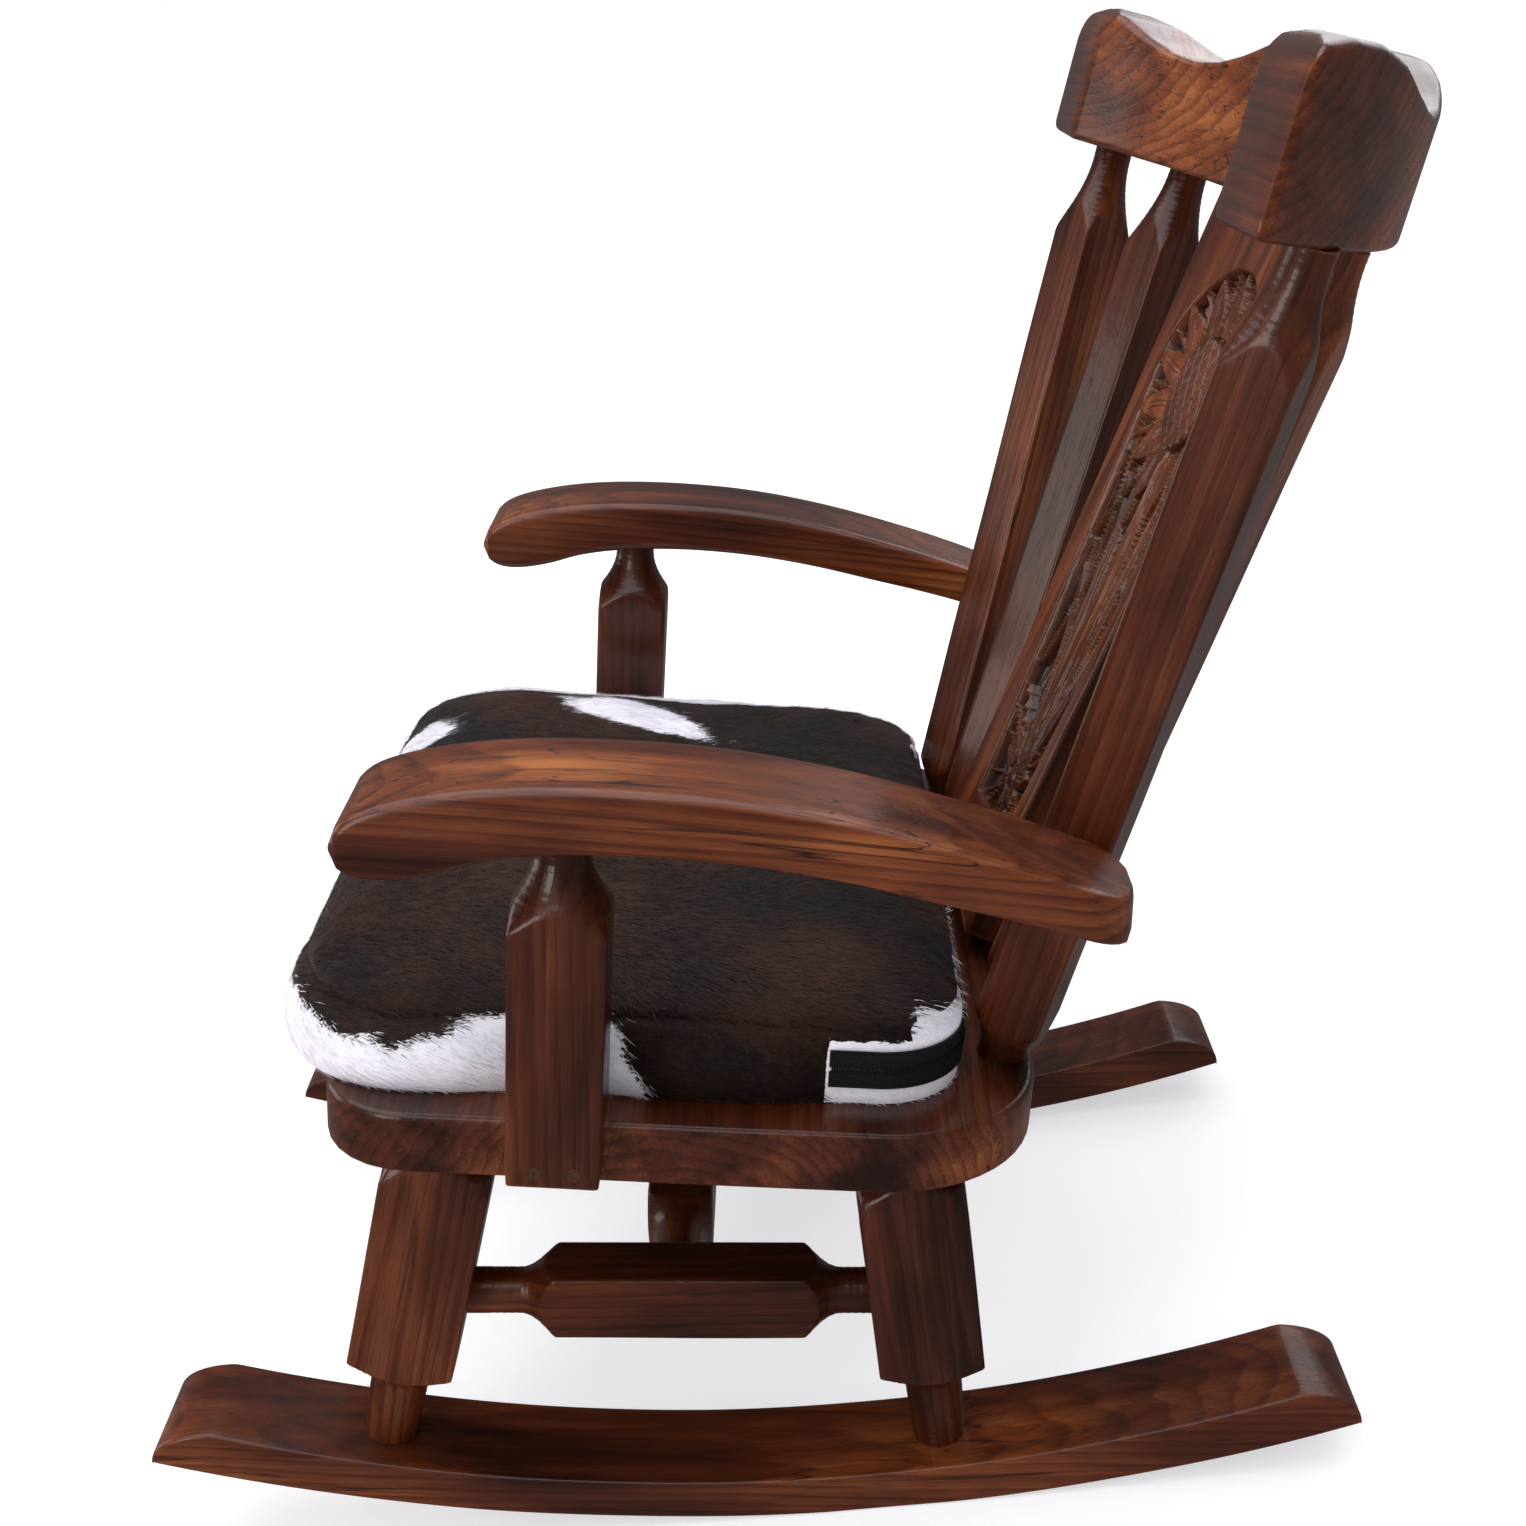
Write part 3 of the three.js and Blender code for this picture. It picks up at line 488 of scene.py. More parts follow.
def plan_outline(half, front, rear, r_front, r_rear, per_side=30):
    """Rounded plan outline with evenly spaced points, anticlockwise from the front."""
    corners = ((half - r_front, front + r_front, r_front, -pi / 2),
               (half - r_rear, rear - r_rear, r_rear, 0),
               (-half + r_rear, rear - r_rear, r_rear, pi / 2),
               (-half + r_front, front + r_front, r_front, pi))
    dense = []
    for cx, cy, r, a0 in corners:
        for i in range(25):
            a = a0 + pi / 2 * i / 24
            dense.append((cx + r * cos(a), cy + r * sin(a)))
    dense.append(dense[0])
    dense = np.array(dense)
    run = np.concatenate([[0], np.cumsum(np.linalg.norm(np.diff(dense, axis=0), axis=1))])
    at = np.linspace(0, run[-1], per_side * 4 + 1)[:-1]
    return np.column_stack([np.interp(at, run, dense[:, 0]), np.interp(at, run, dense[:, 1])])


def crest_top(phi, y):
    """Height of the crest's top at an angle along its arc, falling over its front ends."""
    top = np.interp(abs(degrees(phi)), *np.transpose(CREST_TOP))
    nose_z, nose_rise, nose_run = 84, 28, 34
    nose = nose_z + nose_rise * sqrt(max(0, 1 - (1 - min(y / nose_run, 1)) ** 2))
    return min(top, nose + 8 * max(0, min(1, (y - 20) / 40)))


def crest_ring(s):
    """Section of the crest at s from -1 to 1, lying flat, before the crest is tilted."""
    c = CREST
    edge = c.edge
    to_end = (1 - abs(s)) * 0.7 * c.inner
    shrink = edge - sqrt(edge**2 - (edge - to_end) ** 2) if to_end < edge else 0.0
    half_w = (c.outer - c.inner) / 2
    half_h = 50
    ring = []
    for u, v in rounded_ring(half_w - shrink, half_h - shrink, edge, straight=14, corner=5):
        radius = (c.inner + c.outer) / 2 + u
        phi = s * acos((c.front - c.centre) / radius)
        x = radius * sin(phi)
        x = copysign(min(abs(x), c.half - 0.02 * max(0, abs(x) - c.half)), x)
        y = c.centre + radius * cos(phi) - c.front
        ring.append((x, y, (v + half_h) / (2 * half_h) * crest_top(phi, y)))
    return ring


def make_crest(wood):
    c = CREST
    rings = np.array([crest_ring(s) for s in eased(-1, 1, 150, 1.6)])
    rings[..., 2] += 0.5 * smooth_noise(rings, 70, 5)
    grain = np.stack([rings[..., 1], rings[..., 2], rings[..., 0]], -1)
    cs, sn = cos(c.tilt), sin(c.tilt)
    y, z = rings[..., 1].copy(), rings[..., 2].copy()
    rings[..., 1] = c.front + y * cs + z * sn
    rings[..., 2] = c.z - y * sn + z * cs
    wood_piece("crest_rail", rings, grain + np.array((70, -140, 300)), wood)


# ---- carved splat
def splat_frame():
    foot = np.array(SPLAT.foot, float)
    axis = np.array(SPLAT.head, float) - foot
    length = np.linalg.norm(axis)
    axis /= length
    return foot, length, axis, np.cross((1.0, 0, 0), axis)


def leaf_height(x, v, start, angle, length, half, bow=0.0, veins=3, top=-1.0):
    """Height of one pointed, grooved leaf or petal; far below the surface outside it."""
    dx, dv = x - start[0], v - start[1]
    s = (dx * sin(angle) + dv * cos(angle)) / length
    along = np.clip(s, 0, 1)
    side = (dx * cos(angle) - dv * sin(angle)) - bow * np.sin(along * pi)
    width = half * np.sqrt(np.clip(np.sin(along**0.8 * pi), 0, 1))
    tip = np.clip((s - 0.5) / 0.5, 0, 1) ** 1.7
    width = np.where(s > 0.55, half * 0.98 * np.clip(1 - tip, 0, 1), width)
    width = np.where((s < 0) | (s > 1), 0, width)
    off = np.abs(side) - width
    height = top - 2.2 * np.clip(np.abs(side) / max(half, 1), 0, 1) ** 2 - 1.5 * along
    for k in range(veins):
        lane = (k - (veins - 1) / 2) * half * 0.42
        groove = np.abs(side - lane * (0.35 + 0.8 * s))
        inside = (s > 0.12) & (s < 0.78)
        height = height - 1.7 * np.exp(-(groove / 0.8) ** 2) * inside
    return np.where(off > 0, height - np.clip(off / 1.0, 0, 40) * 9.0, height)


def sunk_ground(x, v):
    """Floor of the arched recess, with shallow gouge marks, and zero outside it."""
    c = CARVING
    half = c.foot_half + (c.arch_r - c.foot_half) * np.clip(
        (v - c.foot_v) / (c.arch_v - c.foot_v), 0, 1)
    wall = np.where(v > c.arch_v, np.hypot(x, v - c.arch_v) - c.arch_r,
                    np.maximum(np.abs(x) - half, c.foot_v - v))
    ground = -c.deep / (1 + np.exp(np.clip(wall / 0.7, -30, 30)))
    return ground + 0.5 * np.sin(x * 0.9 + 2 * np.sin(v * 0.11)) * (wall < -2)


def stem_height(x, v):
    bend = x - 5 * np.sin((v - 110) / 300 * pi)
    stem = -2.5 - 0.25 * (np.abs(bend) / 1.2) ** 2
    stem = np.where((v > 105) & (v < 410) & (np.abs(bend) < 5.5), stem, -20)
    return stem - 1.2 * np.exp(-((bend - 1.5) / 0.7) ** 2)


def flower_disc(x, v, height):
    """The sunflower's domed disc, cut with crossed grooves, in a ring-shaped dip."""
    disc_r, cell = 42, 13.5
    dx, dv = x, v - CARVING.flower_v
    radius = np.hypot(dx, dv)
    a = (dx * 0.80 + dv * 0.60) / cell
    b = (-dx * 0.80 + dv * 0.60) / cell
    groove = np.minimum(np.abs(a - np.round(a)), np.abs(b - np.round(b))) * cell
    disc = 3.6 - 0.0016 * radius**2 - 2.2 * np.exp(-(groove / 0.95) ** 2)
    height = np.where(radius < disc_r, disc, height)
    height = height - 4.0 * np.exp(-((radius - disc_r - 1.3) / 1.2) ** 2)
    return height - 2.4 * np.exp(-((radius - 47.0) / 7.0) ** 2) * (radius > disc_r + 1.3)


def carving_height(x, v):
    """Relief of the splat's front: arched sunk ground, sunflower, stem, leaves and a bud."""
    parts = [sunk_ground(x, v), stem_height(x, v)]
    for angle, length, half, bow, top in LEAVES:
        parts.append(leaf_height(x, v, (2.0, 118.0), angle, length, half, bow, 2, top))
    for turn, length, half, veins, top in ((0.5, 54, 9.5, 1, -5.0), (0, 62, 12.5, 2, -0.6)):
        for k in range(PETALS):
            angle = 2 * pi * (k + turn) / PETALS
            start = (30 * sin(angle), CARVING.flower_v + 30 * cos(angle))
            parts.append(leaf_height(x, v, start, angle, length, half, 0, veins, top))
    bud = (-3.0, 122.0)
    for angle, length in BUD_PETALS:
        parts.append(leaf_height(x, v, bud, angle, length, 10, 0, 2, -0.8))
    height = np.maximum.reduce(parts)
    hub = np.hypot(x - bud[0], v - bud[1])
    height = np.where(hub < 9, -0.5 - 0.03 * hub**2,
                      height - 2.0 * np.exp(-((hub - 9.7) / 0.8) ** 2))
    return np.maximum(flower_disc(x, v, height), -CARVING.deep - 0.5)


def blurred(height, reach):
    """Mean of the neighbours within reach cells, for finding narrow grooves."""
    out = height.copy()
    for axis in (0, 1):
        out = sum(np.roll(out, k, axis) for k in range(-reach, reach + 1)) / (2 * reach + 1)
    return out


def splat_bow(x):
    """Forward set of the splat's face: hollow across, and turned a little."""
    return 12.0 * (np.abs(x) / SPLAT.half_head) ** 2 - 0.06 * x


def make_splat(wood):
    foot, length, axis, normal = splat_frame()
    across = np.array((1.0, 0, 0))
    fine = 1.1
    lo, hi = 18.0, length + 25.0           # from the seat's socket to inside the crest
    rows = int((hi - lo) / fine)
    cols = int(2 * SPLAT.half_head / fine)
    v = np.linspace(lo, hi, rows)[:, None] * np.ones((1, cols))
    widen = SPLAT.half_head - SPLAT.half_foot
    half = SPLAT.half_foot + widen * np.minimum(v / length, 1)
    edge = 5.0
    x = np.linspace(-1, 1, cols)[None, :] * half
    height = carving_height(x, v)
    near = np.clip((np.abs(x) - (half - edge)) / edge, 0, 1)
    height = height - edge * 0.8 * (1 - np.sqrt(np.maximum(1 - near**2, 0)))
    height += 0.35 * smooth_noise(np.stack([x, v, v * 0], -1), 34, 2)
    depth = SPLAT.deep / 2
    front = foot + x[..., None] * across + v[..., None] * axis
    front = front + (depth + height + splat_bow(x))[..., None] * normal
    back_x = np.linspace(-1, 1, 5)[None, :] * half[:, :1]
    back = foot + back_x[..., None] * across + v[:, :1, None] * axis
    back = back + (splat_bow(back_x) - depth)[..., None] * normal
    ring = np.concatenate([front, back[:, ::-1]], 1)
    grain = np.stack([np.concatenate([x, back_x[:, ::-1]], 1) + 30,
                      np.concatenate([depth + height, -depth * np.ones_like(back_x)], 1) + 210,
                      np.concatenate([v, v[:, :5]], 1) + 90], -1)
    piece = wood_piece("back_splat", ring, grain, wood, sharp=60)
    # Painted shade: the carving's narrow grooves and its deeper ground are darkened in the colour,
    # where shade would fall. The wood material mixes this in as near-black.
    painted_groove_shade = np.clip((blurred(height, 4) - height - 0.10) / 0.7, 0, 1)
    dark = np.clip(-(height + 3.0) / 9.0, 0, 1) + 0.8 * painted_groove_shade
    sunk = np.concatenate([np.clip(dark, 0, 1), np.zeros_like(back_x)], 1)
    write_values(piece, "sunk", sunk.ravel())


# ---- cushion
def cushion_outline(count):
    c = CUSHION
    return plan_outline(c.half, c.front, c.rear, c.r_front, c.r_rear, count)


def side_bulge(ring):
    """How far the boxing swells at each outline point; the posts hold it back."""
    x, y = ring[:, 0], ring[:, 1]
    post = np.exp(-((y + 133) / 42) ** 2) * (np.abs(x) > 270)
    front = np.clip((-150 - y) / 50, 0, 1) * (np.abs(x) > 200)
    return (11.0 + 7.0 * front) * (1 - 0.68 * post) * np.clip((60 - y) / 60, 0.12, 1)


def cushion_rings():
    """Rings from the middle of the underside, up the boxing, to the middle of the crown.

    The second result is each ring's distance past the top seam, below zero under it.
    """
    outline = cushion_outline(125)
    centre = np.array((0.0, -96.0))
    away = outline - centre
    push = away / np.linalg.norm(away, axis=1)[:, None]
    bulge = side_bulge(outline)
    sag = 5.0 * np.sin(outline[:, 0] / 95 + 1) * np.sin(outline[:, 1] / 80)
    seam = CUSHION.boxing - 6 + sag * 0.5
    seam = seam - 9 * np.exp(-((outline[:, 1] + 240) / 60) ** 2) * (outline[:, 0] > 200)
    rings, past = [], []
    for scale in np.linspace(0.03, 0.97, underside_rings()):
        rings.append(np.column_stack([centre + away * scale, np.full(len(outline), 0.8)]))
        past.append(-30.0)
    steps = 26
    for i in range(steps + 1):
        h = i / steps
        out = bulge * np.sin(pi * (0.14 + 0.78 * h) ** 0.85) ** 0.6 - 1.0
        tuck = -1.8 * exp(-((1 - h) / 0.045) ** 2)
        rings.append(np.column_stack([outline + push * (out + tuck)[:, None],
                                      1.0 + (seam - 1.0) * h]))
        past.append((h - 1) * 56)
    inner = 56
    peak = 93.0 + 14.0 * np.clip((40 - outline[:, 1]) / 300, 0, 1)
    for i in range(1, inner + 1):
        rho = 1 - (i / inner) ** 1.35 * 0.985
        crown = (peak - seam) * (1 - rho**3.4) ** 0.62 + seam
        rings.append(np.column_stack([centre + away * rho - push * 3.0 * (i < 2), crown]))
        past.append((1 - rho) * 230)
    return np.array(rings), np.array(past)[:, None] * np.ones(len(outline))


def underside_rings():
    return 22


def make_cushion(hide):
    rings, past = cushion_rings()
    top = np.clip((rings[..., 2] - 30) / 30, 0, 1)
    rings[..., 2] += top * (3.0 * smooth_noise(rings, 75, 4) + 1.2 * smooth_noise(rings, 26, 8))
    run = np.linspace(0, 1, rings.shape[1], endpoint=False)[None, :] * 2 * pi
    pucker = np.sin(run * 61 + 2 * np.sin(run * 7)) + 0.6 * np.sin(run * 97 + np.sin(run * 5))
    rings[..., 2] += np.exp(-(past / 26.0) ** 2) * pucker * 0.7 * (past > 0)
    world = on_seat(rings)
    piece = ring_solid("cushion_hide", world, rings, body="cushion", slot="cowhide",
                       node="cushion_cover", material=hide, sharp=80)
    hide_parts("cushion_cover", "cushion_pad")
    white = hide_white(rings)
    write_values(piece, "white", white.ravel(), rest=-1.0)
    return rings, world, white


def hide_white(p):
    """Signed field over the hide: above zero is white hair, below is brown-black."""
    x, y, z = p[..., 0], p[..., 1], p[..., 2]
    none = -3
    boxing = z < 57
    wavy = 53 + 6 * np.sin(y / 30) - 13 * np.exp(-((y + 255) / 45) ** 2)
    wavy = wavy - 12 * np.clip((-262 - y) / 35, 0, 1)
    front_band = np.minimum((wavy - z) / 10, (-76 - y - 0.40 * z) / 10)
    front_band = np.where((x > 150) & boxing, front_band, none)
    front_face = np.where((y < -290) & boxing, (27 - z + 5 * np.sin(x / 37)) / 10, none)
    panel = np.where((x > 200) & boxing, np.minimum((y - 43) * 1.2, (47 - z) / 4), none)
    rear = np.where((y > 100) & boxing, (x - 120) / 10, none)
    corner = 1.2 - np.hypot((x - 296) / 16, (y - 127) / 24)
    corner = np.where(z > 57, corner * 3, none)
    along = 0.586 * (x + 167) + 0.81 * (y + 112)
    aside = 0.586 * (y + 112) - 0.81 * (x + 167)
    patch = 1 - np.hypot(along / 74, aside / (25 + 0.22 * (44 - along)))
    rim = 240 + 34 * np.clip((y + 70) / 50, 0, 1)
    edge = np.where(y < 20, (-x - rim + 12 * np.sin(y / 30 + 2.4)) / 9, none)
    left = 1 - np.hypot((x + 128) / 34, (y + 296) / 28)
    far = np.where((x < -200) & boxing, (60 * np.sin(y / 70) + 10) / 12, none)
    return np.maximum.reduce([front_band, front_face, panel, rear, corner, patch * 2.4,
                              edge, left * 2.0, far])


def normalised(vectors, axis):
    return vectors / np.maximum(np.linalg.norm(vectors, axis=axis, keepdims=True), 1e-9)


def hair_roots(flat, world, count):
    """Random places over the hide, none under the cushion or on the zip's bare panel."""
    du = np.roll(world, -1, 1) - world
    dv = np.zeros_like(world)
    dv[:-1] = world[1:] - world[:-1]
    cross = np.cross(du, dv)
    area = np.linalg.norm(cross, axis=2)
    area[:underside_rings() + 1] = 0
    area[-2:] = 0
    zip_panel = (flat[..., 1] > 34) & (flat[..., 2] > 5) & (flat[..., 2] < 50)
    area[zip_panel] = 0
    pick = rng.choice(area.size, count, p=(area / area.sum()).ravel())
    i, j = pick // area.shape[1], pick % area.shape[1]
    a, b = rng.random((2, count, 1))
    root = world[i, j] + a * du[i, j] + b * dv[i, j]
    n = normalised(cross, 2)[i, j]
    inside = on_seat(np.array((0.0, -96.0, 30.0)))
    return i, j, root, n * np.sign(np.sum(n * (root - inside), 1, keepdims=True))


def hair_blades(flat, world, white, hair):
    """Short hairs over the hide, each a thin tapering blade combed along it."""
    count = 60000
    i, j, root, n = hair_roots(flat, world, count)
    swirl = smooth_noise(flat[i, j], 90, 6)
    heading = swirl * 1.2 + rng.normal(0, 0.28, count) + pi * 0.5
    comb = np.stack([np.cos(heading) * 0.4, np.sin(heading), -0.5 * np.ones(count)], 1)
    comb = normalised(comb - n * np.sum(comb * n, 1, keepdims=True), 1)
    wide = np.cross(n, comb) * 0.22
    long = rng.uniform(6, 12, (count, 1))
    root = root - n * 0.3
    tip = root + comb * long + n * (1.0 + 1.6 * rng.random((count, 1)))
    mid = root + comb * long * 0.5 + n * (1.0 + 0.8 * rng.random((count, 1)))
    points = np.stack([root - wide, root + wide, mid - wide * 0.8, mid + wide * 0.8, tip], 1)
    faces = []
    for o in range(0, 5 * count, 5):
        faces += [(o, o + 1, o + 3, o + 2), (o + 2, o + 3, o + 4)]
    blades = make_piece("cushion_hair", points.reshape(-1, 3), faces,
                        np.repeat(flat[i, j], 5, 0), body="cushion", slot="cowhide",
                        material=hair)
    shade = white[i, j] + rng.normal(0, 0.25, count)
    write_values(blades, "white", np.repeat(shade, 5))


# ---- zip
def zip_path():
    """Line of the zip along the boxing, from one side round the back to the other."""
    ring = cushion_outline(400)
    keep = ring[ring[:, 1] > ZIP.from_y]
    order = np.argsort(np.arctan2(keep[:, 1] + 20, keep[:, 0]))
    return keep[order]


def make_tape(name, low, high, path, out, cloth):
    """Ribbed tape along the path, between two heights."""
    section = []
    for t in np.linspace(0, 1, 9):
        rib = 0.35 * cos(t * pi * 6)
        section.append((ZIP.proud + 0.9 + rib, low + (high - low) * t))
    section += [(ZIP.proud - 0.6, high), (ZIP.proud - 0.6, low)]
    rings = np.array([[(p[0] + o[0] * d, p[1] + o[1] * d, z) for d, z in section]
                      for p, o in zip(path, out)])
    ring_solid(name, on_seat(rings), rings, body="cushion", slot="zip_tape", node=name,
               material=cloth, sharp=70)


def make_teeth(path, out, cloth):
    """Small blocks along the middle of the zip, set high and low by turns."""
    run = np.concatenate([[0], np.cumsum(np.linalg.norm(np.diff(path, axis=0), axis=1))])
    points, faces = [], []
    for k, s in enumerate(np.arange(2.0, run[-1] - 2, ZIP.pitch)):
        centre = np.array([np.interp(s, run, path[:, i]) for i in (0, 1)])
        side = np.array([np.interp(s, run, out[:, i]) for i in (0, 1)])
        ahead = np.array((-side[1], side[0]))
        reach = 0.5 if k % 2 else -0.5
        base = len(points)
        for dz in (reach - 2.2, reach + 2.2):
            for da in (-0.62, 0.62):
                for dn in (ZIP.proud - 0.4, ZIP.proud + 1.9):
                    points.append((*(centre + ahead * da + side * dn), ZIP.z + dz))
        faces += [tuple(base + i for i in f) for f in BLOCK_FACES]
    points = np.array(points)
    make_piece("zip_teeth", on_seat(points), faces, points, body="cushion", slot="zip_tape",
               material=cloth)


def make_zip(cloth):
    path = zip_path()
    tangent = normalised(np.gradient(path, axis=0), 1)
    out = np.column_stack([tangent[:, 1], -tangent[:, 0]])
    for name, low, high in (("zip_tape_upper", 28.6, 40.5), ("zip_tape_lower", 13.5, 25.4)):
        make_tape(name, low, high, path, out, cloth)
    make_teeth(path, out, cloth)


# ---- materials
class Nodes:
    """Small helper that adds shader nodes and links them."""

    def __init__(self, name):
        self.material = bpy.data.materials.new(name)
        self.material.use_nodes = True
        self.tree = self.material.node_tree
        self.tree.nodes.clear()
        self.out = self.tree.nodes.new("ShaderNodeOutputMaterial")

    def add(self, kind, inputs=None, **settings):
        node = self.tree.nodes.new("ShaderNode" + kind)
        for key, value in settings.items():
            setattr(node, key, value)
        for key, value in (inputs or {}).items():
            self.put(node.inputs[key], value)
        return node

    def put(self, socket, value):
        if isinstance(value, bpy.types.NodeSocket):
            self.tree.links.new(value, socket)
        elif hasattr(value, "outputs"):
            self.tree.links.new(value.outputs[0], socket)
        else:
            socket.default_value = value

    def attribute(self, name, output="Fac"):
        return self.add("Attribute", attribute_name=name).outputs[output]

    def maths(self, operation, a, b=0.0, clamp=False):
        node = self.add("Math", {0: a, 1: b}, operation=operation, use_clamp=clamp)
        return node.outputs[0]

    def times(self, a, b, clamp=False):
        return self.maths("MULTIPLY", a, b, clamp=clamp)

    def plus(self, a, b):
        return self.maths("ADD", a, b)

    def minus(self, a, b, clamp=False):
        return self.maths("SUBTRACT", a, b, clamp=clamp)

    def bump(self, height, strength, distance):
        return self.add("Bump", {"Strength": strength, "Distance": distance, "Height": height})

    def mix(self, factor, a, b):
        node = self.add("Mix", data_type="RGBA")
        self.put(node.inputs[0], factor)
        self.put(node.inputs[6], a)
        self.put(node.inputs[7], b)
        return node.outputs[2]

    def ramp(self, factor, stops):
        """Colour ramp; a stop is a place and a colour, or a number for a grey."""
        node = self.add("ValToRGB", {0: factor})
        elements = node.color_ramp.elements
        while len(elements) < len(stops):
            elements.new(0.5)
        for element, (place, colour) in zip(elements, stops):
            element.position = place
            element.color = (*(colour if isinstance(colour, tuple) else [colour] * 3), 1)
        return node.outputs[0]

    def noise(self, vector, scale, detail, rough):
        node = self.add("TexNoise", {"Vector": vector, "Scale": scale, "Detail": detail,
                                     "Roughness": rough})
        return node.outputs["Fac"]

    def stretched(self, source, scale):
        node = self.add("Mapping", {"Vector": source, "Scale": scale})
        return node.outputs[0]

    def along(self, source, scale):
        return self.stretched(source, (1.0, 1.0, scale))

    def finish(self, shader):
        self.tree.links.new(shader.outputs[0], self.out.inputs[0])
        return self.material


def ring_pattern(n, place, knot):
    """Late wood, one in the dark line of each growth ring, bent round the knots."""
    slow = n.along(place, 0.10)
    warp = n.add("TexNoise", {"Vector": slow, "Scale": 9.0, "Detail": 3.0}).outputs["Color"]
    centred = n.add("VectorMath", {0: warp, 1: (0.5, 0.5, 0.5)}, operation="SUBTRACT")
    bent = n.add("VectorMath", {0: centred, 1: (0.052, 0.052, 0.0)}, operation="MULTIPLY")
    moved = n.add("VectorMath", {0: place, 1: bent}, operation="ADD")
    x, y, along = n.add("SeparateXYZ", {0: moved}).outputs
    radius = n.maths("SQRT", n.plus(n.maths("POWER", x, 2.0), n.maths("POWER", y, 2.0)))
    radius = n.plus(n.plus(radius, n.times(along, 0.016)), n.times(knot, 0.010))
    saw = n.maths("FRACT", n.times(radius, 1 / RING_PITCH))
    return n.ramp(saw, [(0.0, 0.0), (0.45, 0.25), (0.86, 1.0),
                        (1.0, 0.0)])


def fine_cracks(n, place, patch):
    """Thin drying cracks along the grain, only in some patches."""
    split = n.noise(n.along(place, 0.025), 70.0, 2.0, 0.5)
    split = n.maths("ABSOLUTE", n.minus(split, 0.5))
    split = n.ramp(split, [(0.0, 1.0), (0.012, 0.0)])
    return n.times(split, n.ramp(patch, [(0.50, 0.0), (0.60, 0.9)]))


def rubbed_edges(n, patch):
    """How far the stain is worn off the arrises."""
    worn = n.add("Bevel", {"Radius": 0.0035}, samples=6)
    plain = n.add("NewGeometry").outputs["Normal"]
    turn = n.add("VectorMath", {0: worn, 1: plain}, operation="DOT_PRODUCT").outputs["Value"]
    return n.times(n.times(n.minus(1.0, turn, clamp=True), 3.2, clamp=True), patch)


def wood_material():
    """Dark stained pine: growth rings cut through in the solid, streaks, knots and lacquer, with
    painted shade in the carving's recesses.
    """
    n = Nodes("stained_wood")
    # Near-black for the knots, and for the painted shade in the carving's grooves and deep ground.
    knot_and_shade_black = (0.010, 0.004, 0.003, 1)
    place = n.attribute("grain", "Vector")
    knot = knot_field(n, place)
    late = ring_pattern(n, place, knot)
    streak = n.noise(n.along(place, 0.05), 42.0, 5.0, 0.62)
    patch = n.noise(n.along(place, 0.30), 9.0, 4.0, 0.55)
    fibre = n.noise(n.along(place, 0.018), 420.0, 3.0, 0.6)
    tone = n.plus(n.times(patch, 1.40), n.times(streak, 0.55))
    tone = n.minus(tone, n.times(late, n.times(patch, 0.22)))
    tone = n.plus(tone, n.times(n.minus(fibre, 0.5), 0.22))
    colour = n.ramp(n.minus(tone, 0.445),
                    [(0.10, (0.0075, 0.0018, 0.0011)), (0.28, (0.020, 0.0044, 0.0018)),
                     (0.48, (0.060, 0.0118, 0.0034)), (0.68, (0.135, 0.032, 0.0078)),
                     (0.92, (0.310, 0.098, 0.024))])
    colour = n.mix(n.times(knot, 0.85, clamp=True), colour, knot_and_shade_black)
    # Painted shade: the carving's grooves and deep ground are darkened towards near-black.
    colour = n.mix(n.times(n.attribute("sunk"), 0.86, clamp=True), colour, knot_and_shade_black)
    pores = n.noise(n.along(place, 0.06), 900.0, 2.0, 0.5)
    pore = n.ramp(pores, [(0.30, 1.0), (0.40, 0.0)])
    colour = n.mix(n.times(pore, 0.45), colour, (0.012, 0.005, 0.003, 1))
    split = fine_cracks(n, place, patch)
    colour = n.mix(split, colour, (0.004, 0.002, 0.002, 1))
    colour = n.mix(n.times(rubbed_edges(n, patch), 0.55), colour, (0.30, 0.115, 0.04, 1))
    relief = n.plus(n.times(late, 0.5), n.times(fibre, 0.5))
    relief = n.minus(relief, n.times(pore, 0.7))
    relief = n.minus(relief, n.times(split, 3.0))
    relief = n.plus(relief, n.times(n.noise(place, 55.0, 2.0, 0.5), 2.2))
    gloss = n.ramp(streak, [(0.3, 0.26), (0.7, 0.42)])
    shader = n.add("BsdfPrincipled", {
        "Base Color": colour, "Roughness": gloss, "Normal": n.bump(relief, 0.22, 0.0006),
        "Specular IOR Level": 0.24, "Coat Weight": 0.26, "Coat Roughness": 0.13,
        "Coat Normal": n.bump(relief, 0.10, 0.0006), "Coat IOR": 1.48})
    return n.finish(shader)


def knot_field(n, place):
    """One where a branch grew through the wood, falling to nothing a few centimetres away."""
    cells = n.along(place, 0.45)
    spot = n.add("TexVoronoi", {"Vector": cells, "Scale": 7.5, "Randomness": 1.0})
    near = n.ramp(spot.outputs["Distance"], [(0.0, 1.0), (0.10, 0.75),
                                             (0.17, 0.12), (0.42, 0.0)])
    lucky = n.add("SeparateColor", {0: spot.outputs["Color"]}).outputs[0]
    some = n.maths("GREATER_THAN", lucky, 0.80)
    return n.maths("MULTIPLY", near, some)


